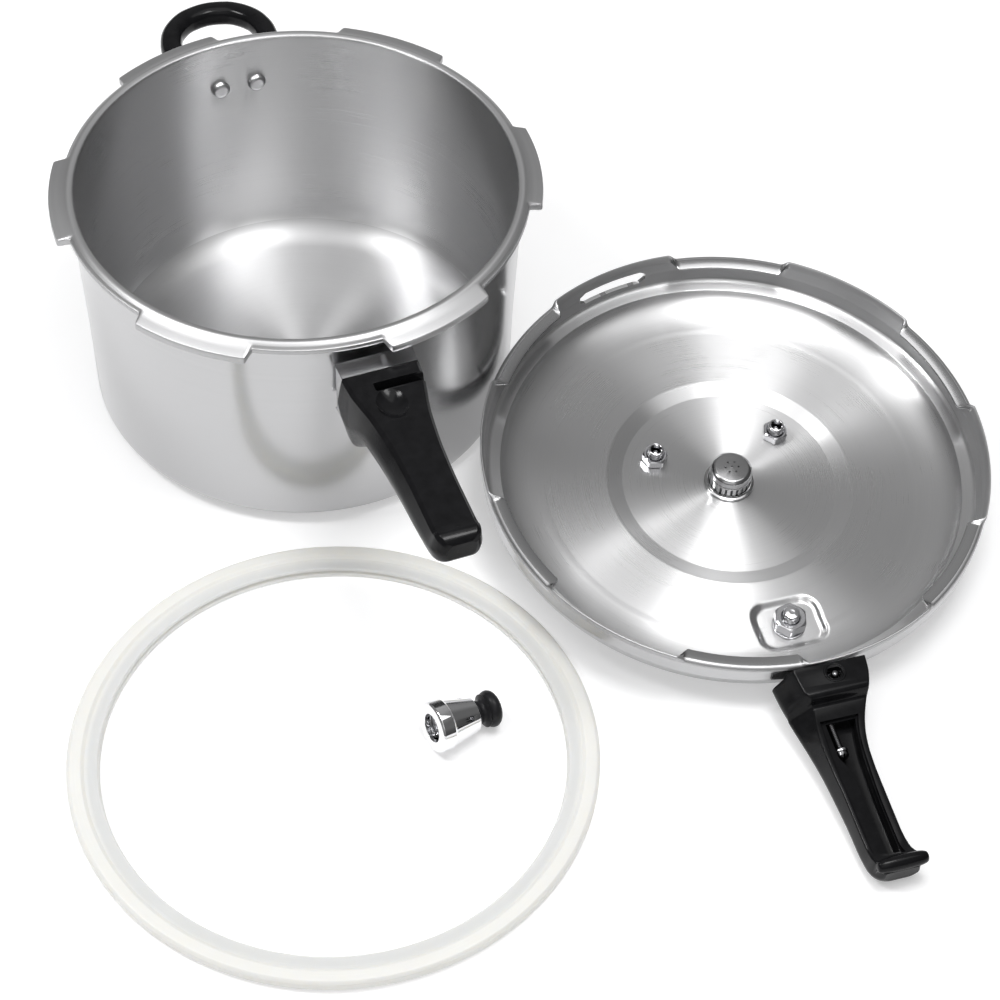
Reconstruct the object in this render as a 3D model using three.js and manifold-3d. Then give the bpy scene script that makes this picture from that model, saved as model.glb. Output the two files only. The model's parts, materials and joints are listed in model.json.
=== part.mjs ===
// A six-lug pressure cooker, taken apart on a table: the pot stands upright, the lid lies on its
// back beside it, and the sealing gasket and the regulator weight lie in front.
// Millimetres, +Z up, origin on the pot's axis at the underside of its base.

import * as THREE from "three";
import { mergeVertices } from "three/addons/utils/BufferGeometryUtils.js";
import Module from "manifold-3d";

const wasm = await Module();
wasm.setup();

// ---------- driving dimensions ----------

const ROUND = 48; // facets on the large turned pieces
const GAP = 0.3; // clearance between neighbouring pieces

const POT = {
  height: 150,
  mouthInner: 121,
  mouthOuter: 124,
  baseInner: 117,
  baseOuter: 120,
  baseFlat: 104,
  baseThickness: 4,
  cornerHeight: 17,
  innerFlat: 98,
  innerCorner: 23, // height at which the inside corner meets the wall
  flangeRadius: 128.5,
  flangeLow: 144,
  flangeHigh: 147.4,
};

const LUGS = {
  count: 6,
  first: 9.7, // azimuth of the first lug's middle, degrees
  width: 28,
  radius: 135,
  low: 141.8,
  high: 147,
};

const POT_HANDLE = {
  azimuth: -67.3,
  top: 136.5,
  root: 138.4,
  tip: 261.5,
  slotAt: 149.8,
  slotWidth: 6,
  slotDepth: 9,
  slotEnd: -7,
  boltHeight: 113,
};

const POT_BOLT = { shank: 2.5, head: 4.6, hole: 2.9, recess: 5.6, from: 125.2, seat: 158.6, end: 162 };

const POT_BRACKET = { low: 101, high: 138, halfWidth: 23, outer: 138, wall: 2.2 };

const HELPER = {
  azimuth: 111.7,
  height: 119.5,
  footSpread: 26,
  footAt: 128.4,
  reach: 187,
  thickness: 13,
  rivetSpread: 10.8,
};

const RIVET = { shank: 2.4, head: 5.6, tail: 4.2, hole: 2.7 };

const HELPER_SCREW = { shank: 1.8, head: 3.2, hole: 2.3 };

const LID = {
  x: 247.3,
  y: -94,
  z: 48.1, // height of the rim plane's centre above the table
  azimuth: -72, // the way the handle points
  tilt: 6, // degrees, down towards the handle's tip
  outer: 141,
  wall: 2,
  shelf: -19,
  shelfFrom: 129,
  bowl: 107, // radius at which the floor starts to curve up to the shelf
  bowlDepth: 8.8,
  crown: -31,
  rimEdge: -1.2,
};

const LIPS = { first: 17.2, width: 27, inner: 132, low: -3.4, high: -1.8 };

// The thin edge that stands up between the lips.
const CREST = { out: 0.5, high: 0.8 };

const PAD = { u: 98, v: 1, length: 30, width: 38, corner: 9 };

const VALVES = { u: -25, spread: 36, hole: 4.9 };

const VENT_HOLE = 4.6;

const WINDOW = { azimuth: 192, width: 18, low: -15, high: -7 };

const STRAINER = { slots: 12, slotHalf: 0.8, holes: 6, holeRadius: 0.9, holeCircle: 4 };

const HANDLE_BOLT = { shank: 4.6, hole: 4.9, head: 7.4 };

const LID_HANDLE = { root: 142.2, tip: 262.5 };

// The strap's upright tab, and the screw that runs along the handle to it.
const STRAP = { halfWidth: 12, thickness: 1.6 };

const STRAP_TAB = { from: 143.2, to: 144.8, low: -25, high: -6 };

const HANDLE_SCREW = { v: -5, w: -12.4, radius: 2, head: 3.4 };

// The open channel along the lid's handle: a shallow wide part over a deep narrow one, which is
// wider round the head of the long screw.
const CHANNEL = {
  from: 171.5,
  to: 252.5,
  left: -12.4,
  right: 4,
  ledge: -9,
  deepLeft: -5.2,
  deepRight: 3.4,
  floor: -16.6,
  headEnd: 194,
  headLeft: -9.2,
};

const LOCK_PIN = { u: 149.2, v: 3.8, radius: 2.2, collar: 3.6, pocket: 4.3 };

const GASKET = { x: 38, y: -278, outer: 138, inner: 121, height: 7.5 };

const WEIGHT = { x: 87.9, y: -267, z: 14.75, azimuth: 30.7, droop: 8.01, sideHoles: 4, sideHole: 1.4 };

// ---------- materials ----------

function finish(color, roughness, metalness) {
  return new THREE.MeshStandardMaterial({ color, roughness, metalness });
}

const brushedAluminium = () => finish(0xc9c9cb, 0.32, 1);
const polishedAluminium = () => finish(0xd8d8da, 0.18, 1);
const blackPhenolic = () => finish(0x121214, 0.22, 0);
const steel = () => finish(0xb4b4b8, 0.28, 1);
const springSteel = () => finish(0x8f8f94, 0.35, 1);
const chrome = () => finish(0xe2e2e4, 0.06, 1);
const silicone = () => finish(0xe6e4dc, 0.45, 0);
const blackRubber = () => finish(0x1d1d1e, 0.7, 0);

// ---------- geometry tools ----------

const radians = THREE.MathUtils.degToRad;

function signedVolume(vertices, triangles) {
  let total = 0;
  const corner = (i) => new THREE.Vector3().fromArray(vertices, 3 * triangles[i]);
  for (let i = 0; i < triangles.length; i += 3) {
    total += corner(i).dot(corner(i + 1).cross(corner(i + 2)));
  }
  return total / 6;
}

// A closed mesh with shared corners, as a manifold solid whose faces point outwards.
function solid(geometry) {
  let g = geometry.clone();
  g.deleteAttribute("normal");
  g.deleteAttribute("uv");
  g = mergeVertices(g, 1e-4);
  const vertices = new Float32Array(g.attributes.position.array);
  const index = g.index.array;
  const kept = [];
  for (let i = 0; i < index.length; i += 3) {
    const [a, b, c] = [index[i], index[i + 1], index[i + 2]];
    if (a !== b && b !== c && c !== a) {
      kept.push(a, b, c);
    }
  }
  if (signedVolume(vertices, kept) < 0) {
    kept.reverse();
  }
  const mesh = new wasm.Mesh({ numProp: 3, vertProperties: vertices, triVerts: new Uint32Array(kept) });
  return new wasm.Manifold(mesh);
}

function geometryOf(manifold) {
  const mesh = manifold.getMesh();
  const g = new THREE.BufferGeometry();
  g.setAttribute("position", new THREE.BufferAttribute(new Float32Array(mesh.vertProperties), 3));
  g.setIndex(new THREE.BufferAttribute(new Uint32Array(mesh.triVerts), 1));
  return g;
}

// Turns a closed outline of [radius, height] points about Z.
function revolve(outline, facets = ROUND) {
  const points = outline.map(([r, z]) => new THREE.Vector2(r, z));
  const onAxis = outline[0][0] === 0 && outline.at(-1)[0] === 0;
  if (!onAxis) {
    points.push(points[0].clone());
  }
  return solid(new THREE.LatheGeometry(points, facets).rotateX(Math.PI / 2));
}

// Joins a row of like outlines into a closed skin, with flat ends. Each section has its outline
// as 2-D points and a function that places a point in space.
function loft(sections) {
  const count = sections[0].outline.length;
  const positions = [];
  const index = [];
  for (const { outline, place } of sections) {
    for (const [a, b] of outline) {
      positions.push(...place(a, b));
    }
  }
  for (let s = 0; s + 1 < sections.length; s++) {
    for (let i = 0; i < count; i++) {
      const j = (i + 1) % count;
      const [p, q, r, t] = [s * count + i, s * count + j, (s + 1) * count + i, (s + 1) * count + j];
      index.push(p, q, t, p, t, r);
    }
  }
  const last = (sections.length - 1) * count;
  const flat = (outline) => outline.map(([a, b]) => new THREE.Vector2(a, b));
  for (const [a, b, c] of THREE.ShapeUtils.triangulateShape(flat(sections[0].outline), [])) {
    index.push(c, b, a);
  }
  for (const [a, b, c] of THREE.ShapeUtils.triangulateShape(flat(sections.at(-1).outline), [])) {
    index.push(last + a, last + b, last + c);
  }
  const g = new THREE.BufferGeometry();
  g.setAttribute("position", new THREE.BufferAttribute(new Float32Array(positions), 3));
  g.setIndex(index);
  return solid(g);
}

// Part of a ring: an outline of [radius, height] points swept from one azimuth to another.
function sector(outline, middle, width, steps = 4) {
  const sections = [];
  for (let i = 0; i <= steps; i++) {
    const a = radians(middle - width / 2 + (width * i) / steps);
    sections.push({ outline, place: (r, z) => [r * Math.cos(a), r * Math.sin(a), z] });
  }
  return loft(sections);
}

function block(u0, u1, v0, v1, z0, z1) {
  const g = new THREE.BoxGeometry(u1 - u0, v1 - v0, z1 - z0);
  return solid(g.translate((u0 + u1) / 2, (v0 + v1) / 2, (z0 + z1) / 2));
}

// A round rod along Z.
function rod(radius, z0, z1, facets = 14) {
  const g = new THREE.CylinderGeometry(radius, radius, z1 - z0, facets).rotateX(Math.PI / 2);
  return solid(g.translate(0, 0, (z0 + z1) / 2));
}

// A round rod along X.
function crossRod(radius, x0, x1, facets = 14) {
  return rod(radius, x0, x1, facets).rotate([0, 90, 0]);
}

function hexagon(acrossFlats, z0, z1) {
  const g = new THREE.CylinderGeometry(acrossFlats / Math.sqrt(3), acrossFlats / Math.sqrt(3), z1 - z0, 6);
  return solid(g.rotateX(Math.PI / 2).translate(0, 0, (z0 + z1) / 2));
}

// A hexagon nut with a chamfered face and a plain bore.
function nut(acrossFlats, bore, z0, z1) {
  const edge = acrossFlats * 0.48;
  const corner = (z1 - z0) * 0.12;
  const across = acrossFlats * 0.6;
  const chamfer = [[0, z0 - 1], [across, z0 - 1], [across, z1 - corner], [edge, z1], [0, z1]];
  return hexagon(acrossFlats, z0, z1).intersect(revolve(chamfer, 24)).subtract(rod(bore, z0 - 1, z1 + 1));
}

function ring(inner, outer, z0, z1, facets = 18) {
  return revolve([[inner, z0], [outer, z0], [outer, z1], [inner, z1]], facets);
}

// A rounded rectangle of half sizes a and b, as 2-D points.
function roundedRectangle(a, b, corner, steps = 3) {
  const points = [];
  for (const [sa, sb, start] of [[1, 1, 0], [-1, 1, 90], [-1, -1, 180], [1, -1, 270]]) {
    for (let i = 0; i <= steps; i++) {
      const angle = radians(start + (90 * i) / steps);
      const x = sa * (a - corner) + corner * Math.cos(angle);
      points.push([x, sb * (b - corner) + corner * Math.sin(angle)]);
    }
  }
  return points;
}

// A plate of rounded-rectangle outline between two heights.
function roundedPlate(a, b, corner, z0, z1, flare = 0) {
  const low = roundedRectangle(a - flare, b - flare, corner - flare);
  const high = roundedRectangle(a, b, corner);
  return loft([
    { outline: low, place: (x, y) => [x, y, z0] },
    { outline: high, place: (x, y) => [x, y, z1] },
  ]);
}

// A coil spring along Z from z0 to z1.
function coilSpring(radius, wire, z0, z1, turns) {
  const steps = turns * 8;
  const points = [];
  for (let i = 0; i <= steps; i++) {
    const a = (2 * Math.PI * turns * i) / steps;
    const z = z0 + wire + ((z1 - z0 - 2 * wire) * i) / steps;
    points.push(new THREE.Vector3(radius * Math.cos(a), radius * Math.sin(a), z));
  }
  const section = new THREE.Shape();
  for (let i = 0; i < 5; i++) {
    const a = (2 * Math.PI * i) / 5;
    section[i ? "lineTo" : "moveTo"](wire * Math.cos(a), wire * Math.sin(a));
  }
  const path = new THREE.CatmullRomCurve3(points);
  return solid(new THREE.ExtrudeGeometry(section, { steps, extrudePath: path, bevelEnabled: false }));
}

// The value at a place along a table of [place, value] pairs.
function along(table, at) {
  const next = table.findIndex(([u]) => u > at);
  const i = next < 0 ? table.length - 1 : Math.max(next, 1);
  const [u0, a] = table[i - 1];
  const [u1, b] = table[i];
  const t = THREE.MathUtils.clamp((at - u0) / (u1 - u0), 0, 1);
  return a + (b - a) * t;
}

function piece(name, manifold, material) {
  const mesh = new THREE.Mesh(geometryOf(manifold), material);
  mesh.name = name;
  return mesh;
}

function turned(azimuth) {
  const group = new THREE.Group();
  group.rotation.z = radians(azimuth);
  return group;
}

// ---------- pot ----------

function arc(cr, cz, rr, rz, from, to, steps) {
  const points = [];
  for (let i = 0; i <= steps; i++) {
    const a = radians(from + ((to - from) * i) / steps);
    points.push([cr + rr * Math.cos(a), cz + rz * Math.sin(a)]);
  }
  return points;
}

function potShell() {
  const { height, baseFlat, cornerHeight, baseThickness, mouthInner, mouthOuter } = POT;
  const { innerFlat, innerCorner, baseInner, flangeRadius, flangeLow, flangeHigh } = POT;
  const outline = [
    [0, 0],
    ...arc(baseFlat, cornerHeight, POT.baseOuter - baseFlat, cornerHeight, -90, 0, 4),
    [mouthOuter, flangeLow - 2],
    [mouthOuter + 1.5, flangeLow],
    [flangeRadius - 0.6, flangeLow],
    [flangeRadius, flangeLow + 0.8],
    [flangeRadius, flangeHigh - 0.6],
    [flangeRadius - 2, height - 1],
    [mouthOuter + 0.5, height],
    [mouthOuter - 0.6, height],
    [mouthInner + 0.8, height - 1.2],
    [mouthInner, height - 3.6],
    ...arc(innerFlat, innerCorner, baseInner - innerFlat, innerCorner - baseThickness, 0, -90, 5),
    [0, baseThickness],
  ];
  let shell = revolve(outline);
  const lug = [
    [126, LUGS.low], [LUGS.radius, LUGS.low], [LUGS.radius, LUGS.high - 1.2],
    [LUGS.radius - 1, LUGS.high - 0.2], [128, LUGS.high + 0.4], [126, LUGS.high + 0.4],
  ];
  for (let i = 0; i < LUGS.count; i++) {
    shell = shell.add(sector(lug, LUGS.first + (360 / LUGS.count) * i, LUGS.width));
  }
  for (const side of [-1, 1]) {
    shell = shell.subtract(helperPlaced(crossRod(RIVET.hole, 110, 130), side * HELPER.rivetSpread));
  }
  return shell;
}

// The sections of the pot's handle: half width and depth of its underside along its length.
const POT_HANDLE_HALF_WIDTH = [
  [138, 21.3], [150, 20.3], [158, 19], [170, 16.7], [185, 14.2], [196, 13], [222, 12], [262, 11.6],
];
const POT_HANDLE_DEPTH = [
  [138, 34], [143, 42], [150, 41], [158, 35], [166, 26], [176, 19.5], [190, 17.5], [247, 17], [262, 15],
];

function potHandle() {
  const { top, root, tip, slotAt, slotWidth, slotDepth, slotEnd, boltHeight } = POT_HANDLE;
  const stations = [root, 143, 150, 158, 166, 176, 186, 200, 225, 247, 255, 259, tip];
  const sections = stations.map((u) => {
    const end = Math.max(0, u - 255) * 0.35;
    const a = along(POT_HANDLE_HALF_WIDTH, u) - end;
    const depth = along(POT_HANDLE_DEPTH, u) - end;
    const raised = u > 248 ? 1.6 : 0;
    const high = top - end + raised;
    const low = top - depth;
    const outline = roundedRectangle(a, (high - low) / 2, 4);
    return { outline, place: (v, w) => [u, v, (high + low) / 2 + w] };
  });
  const tenon = block(POT_BRACKET.outer - 9, root + 4, -19.8, 19.8, POT_BRACKET.low + 3.2, top - 2);
  const slot = block(slotAt - slotWidth / 2, slotAt + slotWidth / 2, slotEnd, 30, top - slotDepth, top + 5);
  const dimple = solid(new THREE.SphereGeometry(14, 20, 12).translate(162, 0, top + 11.4));
  return loft(sections)
    .add(tenon)
    .subtract(slot)
    .subtract(dimple)
    .subtract(crossRod(POT_BOLT.hole, 120, 165).translate([0, 0, boltHeight]))
    .subtract(crossRod(POT_BOLT.recess, 157.2, 200).translate([0, 0, boltHeight]));
}

function potHandleBracket() {
  const { low, high, halfWidth, outer, wall } = POT_BRACKET;
  const outline = roundedRectangle(halfWidth, (high - low) / 2, 5);
  const place = (u) => (v, w) => [u, v, (low + high) / 2 + w];
  const body = loft([{ outline, place: place(112) }, { outline, place: place(outer) }]);
  const pocket = block(127.5, outer + 5, -halfWidth + wall, halfWidth - wall, low + wall, high - wall);
  return body
    .subtract(rod(POT.mouthOuter + GAP, 80, 160, ROUND))
    .subtract(pocket)
    .subtract(crossRod(POT_BOLT.hole, 110, 130).translate([0, 0, POT_HANDLE.boltHeight]));
}

function potHandleBolt() {
  const { shank, head, from, seat, end } = POT_BOLT;
  return crossRod(shank, from, seat).add(crossRod(head, seat, end)).translate([0, 0, POT_HANDLE.boltHeight]);
}

function potHandleWasher() {
  const washer = ring(2.8, 5.2, 157.4, 158.3).rotate([0, 90, 0]);
  return washer.translate([0, 0, POT_HANDLE.boltHeight]);
}

// ---------- helper handle ----------

// Moves a solid drawn along the helper handle's own axis to its azimuth, offset sideways.
function helperPlaced(manifold, sideways) {
  return manifold.translate([0, sideways, HELPER.height]).rotate([0, 0, HELPER.azimuth]);
}

function helperHandle() {
  const { footAt, footSpread, reach, thickness } = HELPER;
  const route = [
    [footAt, footSpread], [footAt + 10, footSpread + 1], [footAt + 24, footSpread + 2.3],
    [footAt + 38, footSpread + 1.4], [reach - 8.5, footSpread - 5.4], [reach - 2, footSpread - 14.5],
    [reach, 0],
  ];
  const whole = [...route, ...route.slice(0, -1).reverse().map(([u, v]) => [u, -v])];
  const path = new THREE.CatmullRomCurve3(whole.map(([u, v]) => new THREE.Vector3(u, v, 0)));
  const section = new THREE.Shape().absellipse(0, 0, thickness / 2, thickness / 2, 0, 2 * Math.PI);
  const options = { steps: 24, curveSegments: 5, extrudePath: path, bevelEnabled: false };
  let loop = solid(new THREE.ExtrudeGeometry(section, options));
  for (const side of [-1, 1]) {
    loop = loop.subtract(crossRod(HELPER_SCREW.hole, 120, 145).translate([0, side * footSpread, 0]));
  }
  return loop.translate([0, 0, HELPER.height]);
}

function helperBracket() {
  const [low, high] = [HELPER.height - 10, HELPER.height + 10];
  const plate = (r0, r1) => [[r0, low], [r1, low], [r1, high], [r0, high]];
  let strap = sector(plate(124.3, 126.3), 0, 17);
  for (const side of [-1, 1]) {
    strap = strap.add(sector(plate(124.8, 129), side * 8, 1.4, 1));
    strap = strap.add(sector(plate(127.2, 129), side * 11.5, 8, 3));
    const hole = (radius, spread) => crossRod(radius, 120, 135).translate([0, side * spread, HELPER.height]);
    strap = strap.subtract(hole(RIVET.hole, HELPER.rivetSpread));
    strap = strap.subtract(hole(HELPER_SCREW.hole, HELPER.footSpread));
  }
  return strap;
}

function helperRivet(side) {
  const wallInner = POT.mouthInner - 1.2;
  const inner = Math.sqrt(wallInner ** 2 - (HELPER.rivetSpread + RIVET.head) ** 2) - GAP;
  const outline = [[0, -2.6], ...arc(0, -0.4, RIVET.head, 2.2, -60, 0, 3), [RIVET.head, 0], [0, 0]];
  const head = revolve(outline, 20).rotate([0, 90, 0]).translate([inner, 0, 0]);
  const tail = crossRod(RIVET.tail, 126.8, 128.2, 16);
  const shank = crossRod(RIVET.shank, inner - 0.2, 127, 16);
  return head.add(shank).add(tail).translate([0, side * HELPER.rivetSpread, HELPER.height]);
}

function helperScrew(side) {
  const head = crossRod(HELPER_SCREW.head, 121.6, 123.5, 14);
  const shank = crossRod(HELPER_SCREW.shank, 123.2, 143, 14);
  return head.add(shank).translate([0, side * HELPER.footSpread, HELPER.height]);
}

// ---------- lid, drawn on its back: +Z towards the pot side, +X towards its handle ----------

function padPlate(grow, z0, z1) {
  const plate = roundedPlate(PAD.length / 2 + grow, PAD.width / 2 + grow, PAD.corner + grow, z0, z1);
  return plate.translate([PAD.u, PAD.v, 0]);
}

function lidShell() {
  const { outer, wall, shelf, shelfFrom, bowl, bowlDepth, crown, rimEdge } = LID;
  const inner = outer - wall;
  const outline = [
    [0, crown], [60, crown], [69, crown + 2.3],
    ...arc(bowl, shelf - 0.4, shelfFrom - bowl, bowlDepth, -90, 0, 5),
    [inner, shelf], [inner, rimEdge], [outer - 1.6, rimEdge], [outer, rimEdge - 2.2],
    [outer, shelf - wall + 1.5], [outer - 1.5, shelf - wall],
    ...arc(bowl, shelf - 0.4, shelfFrom - bowl + wall, bowlDepth + wall, -10, -90, 5),
    [69.5, crown + 2.3 - wall], [60.5, crown - wall], [0, crown - wall],
  ];
  let shell = revolve(outline);
  const { low, high } = LIPS;
  const lip = [
    [LIPS.inner, low], [inner + 1, low], [inner + 1, rimEdge], [inner, rimEdge], [LIPS.inner, high],
  ];
  const crest = [
    [inner + 0.5, rimEdge - 2.6], [outer - 0.5, rimEdge - 2.6],
    [outer + CREST.out, CREST.high], [inner + CREST.out + 0.8, CREST.high],
  ];
  for (let i = 0; i < LUGS.count; i++) {
    const middle = -LIPS.first + (360 / LUGS.count) * i;
    shell = shell.add(sector(lip, middle, LIPS.width));
    shell = shell.add(sector(crest, middle + 30, 360 / LUGS.count - LIPS.width));
  }
  shell = shell.add(padPlate(wall, crown - wall, crown + 3));
  shell = shell.subtract(padPlate(0, crown, crown + 12));
  const [r0, r1] = [outer - 8, outer + 8];
  const window = [[r0, WINDOW.low], [r1, WINDOW.low], [r1, WINDOW.high], [r0, WINDOW.high]];
  shell = shell.subtract(sector(window, WINDOW.azimuth, WINDOW.width));
  shell = shell.subtract(rod(HANDLE_BOLT.hole, -60, 0).translate([PAD.u, PAD.v, 0]));
  shell = shell.subtract(rod(VENT_HOLE, -60, 0));
  for (const side of [-1, 1]) {
    shell = shell.subtract(rod(VALVES.hole, -60, 0).translate([VALVES.u, side * VALVES.spread, 0]));
  }
  return shell;
}

function ventPipe() {
  const outline = [
    [1.5, -47.5], [3.6, -47.5], [4.1, -46.8], [4.1, -37.5], [8, -36.6], [8, -33.3], [4.2, -33.3],
    [4.2, -22.5], [3.4, -21.8], [1.5, -21.8],
  ];
  return revolve(outline, 18);
}

function strainerCap() {
  const { slots, slotHalf, holes, holeRadius, holeCircle } = STRAINER;
  const outline = [
    [14, -30.7], [14, -29.2], [12.2, -29], [12, -20], ...arc(8.6, -19.6, 3.3, 3, 0, 80, 3),
    [0, -16.2], [0, -17.2], [8.6, -17.7], [10.9, -20], [11.1, -30.7],
  ];
  let cap = revolve(outline, 24);
  for (let i = 0; i < slots; i++) {
    const slot = block(9, 16, -slotHalf, slotHalf, -27.8, -22);
    cap = cap.subtract(slot.rotate([0, 0, (360 / slots) * (i + 0.5)]));
  }
  const hole = rod(holeRadius, -25, -10, 5);
  for (let i = 0; i < holes; i++) {
    cap = cap.subtract(hole.translate([holeCircle, 0, 0]).rotate([0, 0, (360 / holes) * i]));
  }
  return cap.subtract(hole);
}

function valveBody() {
  const outline = [
    [2.2, -43], [6.5, -43], [8, -41.5], [8, -34.8], [4.5, -34.8], [4.5, -21.6], [4.1, -21.2],
    [2.5, -21.2], [2.5, -32.6], [3.8, -33.4], [3.8, -41.6], [2.2, -41.6],
  ];
  return revolve(outline, 18);
}

function valvePin() {
  const outline = [
    [0, -40.2], [1.7, -40.2], [1.7, -35.6], [3.3, -35.6], [3.3, -34.6], [1.9, -34], [1.9, -23.6],
    ...arc(0, -23.6, 1.9, 1.6, 30, 90, 2),
  ];
  outline[outline.length - 1][0] = 0;
  return revolve(outline, 12);
}

const valveSpring = () => coilSpring(2.75, 0.35, -41.4, -35.9, 4);

function handleBolt() {
  const { shank, head } = HANDLE_BOLT;
  const outline = [
    [0, -37.1], [5, -37.1], [head, -36.5], [head, -35.6], [shank, -35.6], [shank, -20],
    ...arc(0, -20.2, shank, 2.4, 35, 90, 3),
  ];
  outline[outline.length - 1][0] = 0;
  return revolve(outline, 18).translate([PAD.u, PAD.v, 0]);
}

// A steel strap from the bolt under the pad, up the outside of the dome, to a tab in the handle.
function handleStrap() {
  const { from, to, low, high } = STRAP_TAB;
  const outline = [
    [86, -35.2], [115.5, -35.2], [122, -32], [134, -27], [to, low - STRAP.thickness], [to, high],
    [from, high], [from, low], [134, -25.2], [122, -30.2], [115.5, -33.4], [86, -33.4],
  ];
  const section = (v) => ({ outline, place: (u, w) => [u, v, w] });
  return loft([section(PAD.v - STRAP.halfWidth), section(PAD.v + STRAP.halfWidth)])
    .subtract(rod(HANDLE_BOLT.hole, -60, 0).translate([PAD.u, PAD.v, 0]))
    .subtract(screwLine(HANDLE_SCREW.radius + 0.4, 130, 150));
}

// A round rod on the line of the long handle screw.
function screwLine(radius, from, to, facets = 16) {
  return crossRod(radius, from, to, facets).translate([0, HANDLE_SCREW.v, HANDLE_SCREW.w]);
}

// Along the lid handle: the sides of its open face, the left side's widest line, the open face and
// the outer face.
const LID_GRIP = {
  left: [
    [142, -17.2], [150, -16.4], [160, -14.8], [162, -11.5], [168, -12.6], [176, -14.5], [199, -15],
    [236, -14.1], [256, -13], [262.5, -11.5],
  ],
  right: [
    [142, 23.2], [150, 22.2], [160, 19.2], [170, 14.4], [184, 9.7], [196, 8], [239, 7.5], [256, 9.5],
    [256.8, 13.8], [260, 14.2], [262.5, 12.5],
  ],
  belly: [
    [142, -27.2], [152, -26.2], [168, -23.4], [184, -20.5], [199, -18.4], [215, -17.2], [254, -15],
    [262.5, -11],
  ],
  face: [
    [142, 0.5], [160, 0.5], [162, -6.6], [168, -7], [256, -6.6], [256.8, -0.9], [260, -0.5], [262.5, -3],
  ],
  outer: [[142, -23.5], [160, -23.5], [200, -23.1], [250, -21.6], [257, -21.2], [262.5, -17]],
};

function lidHandle() {
  const { root, tip } = LID_HANDLE;
  const stations = [root, 152, 160, 162, 168, 176, 184, 196, 215, 239, 254, 256, 256.8, 260, tip];
  const sections = stations.map((u) => {
    const [high, low] = [along(LID_GRIP.face, u), along(LID_GRIP.outer, u)];
    const [left, right] = [along(LID_GRIP.left, u), along(LID_GRIP.right, u)];
    const half = (right - left) / 2;
    const flare = (v) => (v < 0 ? left - along(LID_GRIP.belly, u) : 1) / half;
    const lean = (v, w) => 1 + flare(v) * (0.5 - w / (high - low));
    const place = (v, w) => [u, (left + right) / 2 + v * lean(v, w), (high + low) / 2 + w];
    return { outline: roundedRectangle(half, (high - low) / 2, 3, 2), place };
  });
  const { from, to, left, right, ledge, deepLeft, deepRight, floor, headEnd, headLeft } = CHANNEL;
  const tabHalf = STRAP.halfWidth + 0.4;
  const tabRoom = block(140, STRAP_TAB.to + 0.4, PAD.v - tabHalf, PAD.v + tabHalf, -40, STRAP_TAB.high + 0.6);
  const pinHole = roundedPlate(LOCK_PIN.radius + 0.5, LOCK_PIN.radius + 2, 2.6, -40, 20);
  const pinPocket = rod(LOCK_PIN.pocket, -17.4, -2.6);
  return loft(sections)
    .subtract(block(from, to, left, right, ledge, 20))
    .subtract(block(from + 1, to - 1.5, deepLeft, deepRight, floor, 20))
    .subtract(block(from + 1, headEnd, headLeft, deepRight, floor, 20))
    .subtract(rod(LID.outer + 1.2, -60, 20, ROUND))
    .subtract(tabRoom)
    .subtract(screwLine(HANDLE_SCREW.radius + GAP, 140, 180))
    .subtract(pinHole.translate([LOCK_PIN.u, LOCK_PIN.v, 0]))
    .subtract(pinPocket.translate([LOCK_PIN.u + 0.3, LOCK_PIN.v, 0]));
}

function handleScrew() {
  return screwLine(HANDLE_SCREW.radius, 142.4, 189.4).add(screwLine(HANDLE_SCREW.head, 189.2, 192.4));
}

function handleScrewWasher() {
  const washer = ring(2.3, 3.8, 187.4, 188.9, 16).rotate([0, 90, 0]);
  return washer.translate([0, HANDLE_SCREW.v, HANDLE_SCREW.w]);
}

function lockPin() {
  const { radius, collar } = LOCK_PIN;
  const outline = [
    [0, -23.2], [radius, -23.2], [radius, -17], [collar, -17], [collar, -15.4], [radius, -15.4],
    [radius, 0.6], [radius - 0.7, 1.4], [0, 1.4],
  ];
  return revolve(outline, 14).translate([LOCK_PIN.u, LOCK_PIN.v, 0]);
}

function lockPinSpring() {
  return coilSpring(3.1, 0.4, -15.1, -2.9, 4).translate([LOCK_PIN.u, LOCK_PIN.v, 0]);
}

// ---------- gasket and regulator weight ----------

function gasket() {
  const { outer, inner, height } = GASKET;
  const outline = [
    [inner, 0], [outer - 2, 0], [outer, 1.6], [outer, height - 1.6], [outer - 1.6, height],
    [outer - 7.5, height], [outer - 9, height - 1.3], [inner + 1, height - 1.3],
    [inner, 4.6], [inner + 7, 4.4], [inner + 7, 3.2], [inner, 2.8],
  ];
  return revolve(outline);
}

// Drawn along +Z from the mouth of its bore to its knob.
function weightBody() {
  const outline = [
    [7.6, 0], [13, 0], [13.8, 0.9], [13.8, 7.4], [12.9, 8.4], [9.2, 24.6], [8.4, 25.4],
    [3.3, 25.4], [3.3, 13], [7.6, 12.4], [7.6, 5.6], [8.4, 5.5], [8.4, 3.9], [7.6, 3.8],
  ];
  let body = revolve(outline, 24);
  const hole = crossRod(WEIGHT.sideHole, 2, 20, 8).translate([0, 0, 19]);
  for (let i = 0; i < WEIGHT.sideHoles; i++) {
    body = body.subtract(hole.rotate([0, 0, 45 + (360 / WEIGHT.sideHoles) * i]));
  }
  return body;
}

function weightClip() {
  const clip = ring(6.3, 8.1, 4.3, 5.1);
  return clip.subtract(block(0, 12, -1.6, 1.6, 3, 6));
}

function weightStem() {
  const outline = [[0, 9], [1, 10.5], [2.4, 11], [2.9, 12.6], [2.9, 30], [0, 30]];
  return revolve(outline, 12);
}

function weightKnob() {
  const outline = [
    [3.2, 25.7], [7, 25.7], [6.2, 27.6], [6.4, 29], [9.2, 30.6], ...arc(6.2, 34.6, 3.8, 3.4, -40, 70, 5),
    [4, 39.4], [0, 39.8], [0, 30.4], [3.2, 30.4],
  ];
  return revolve(outline, 20);
}

// ---------- assembly ----------

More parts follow.
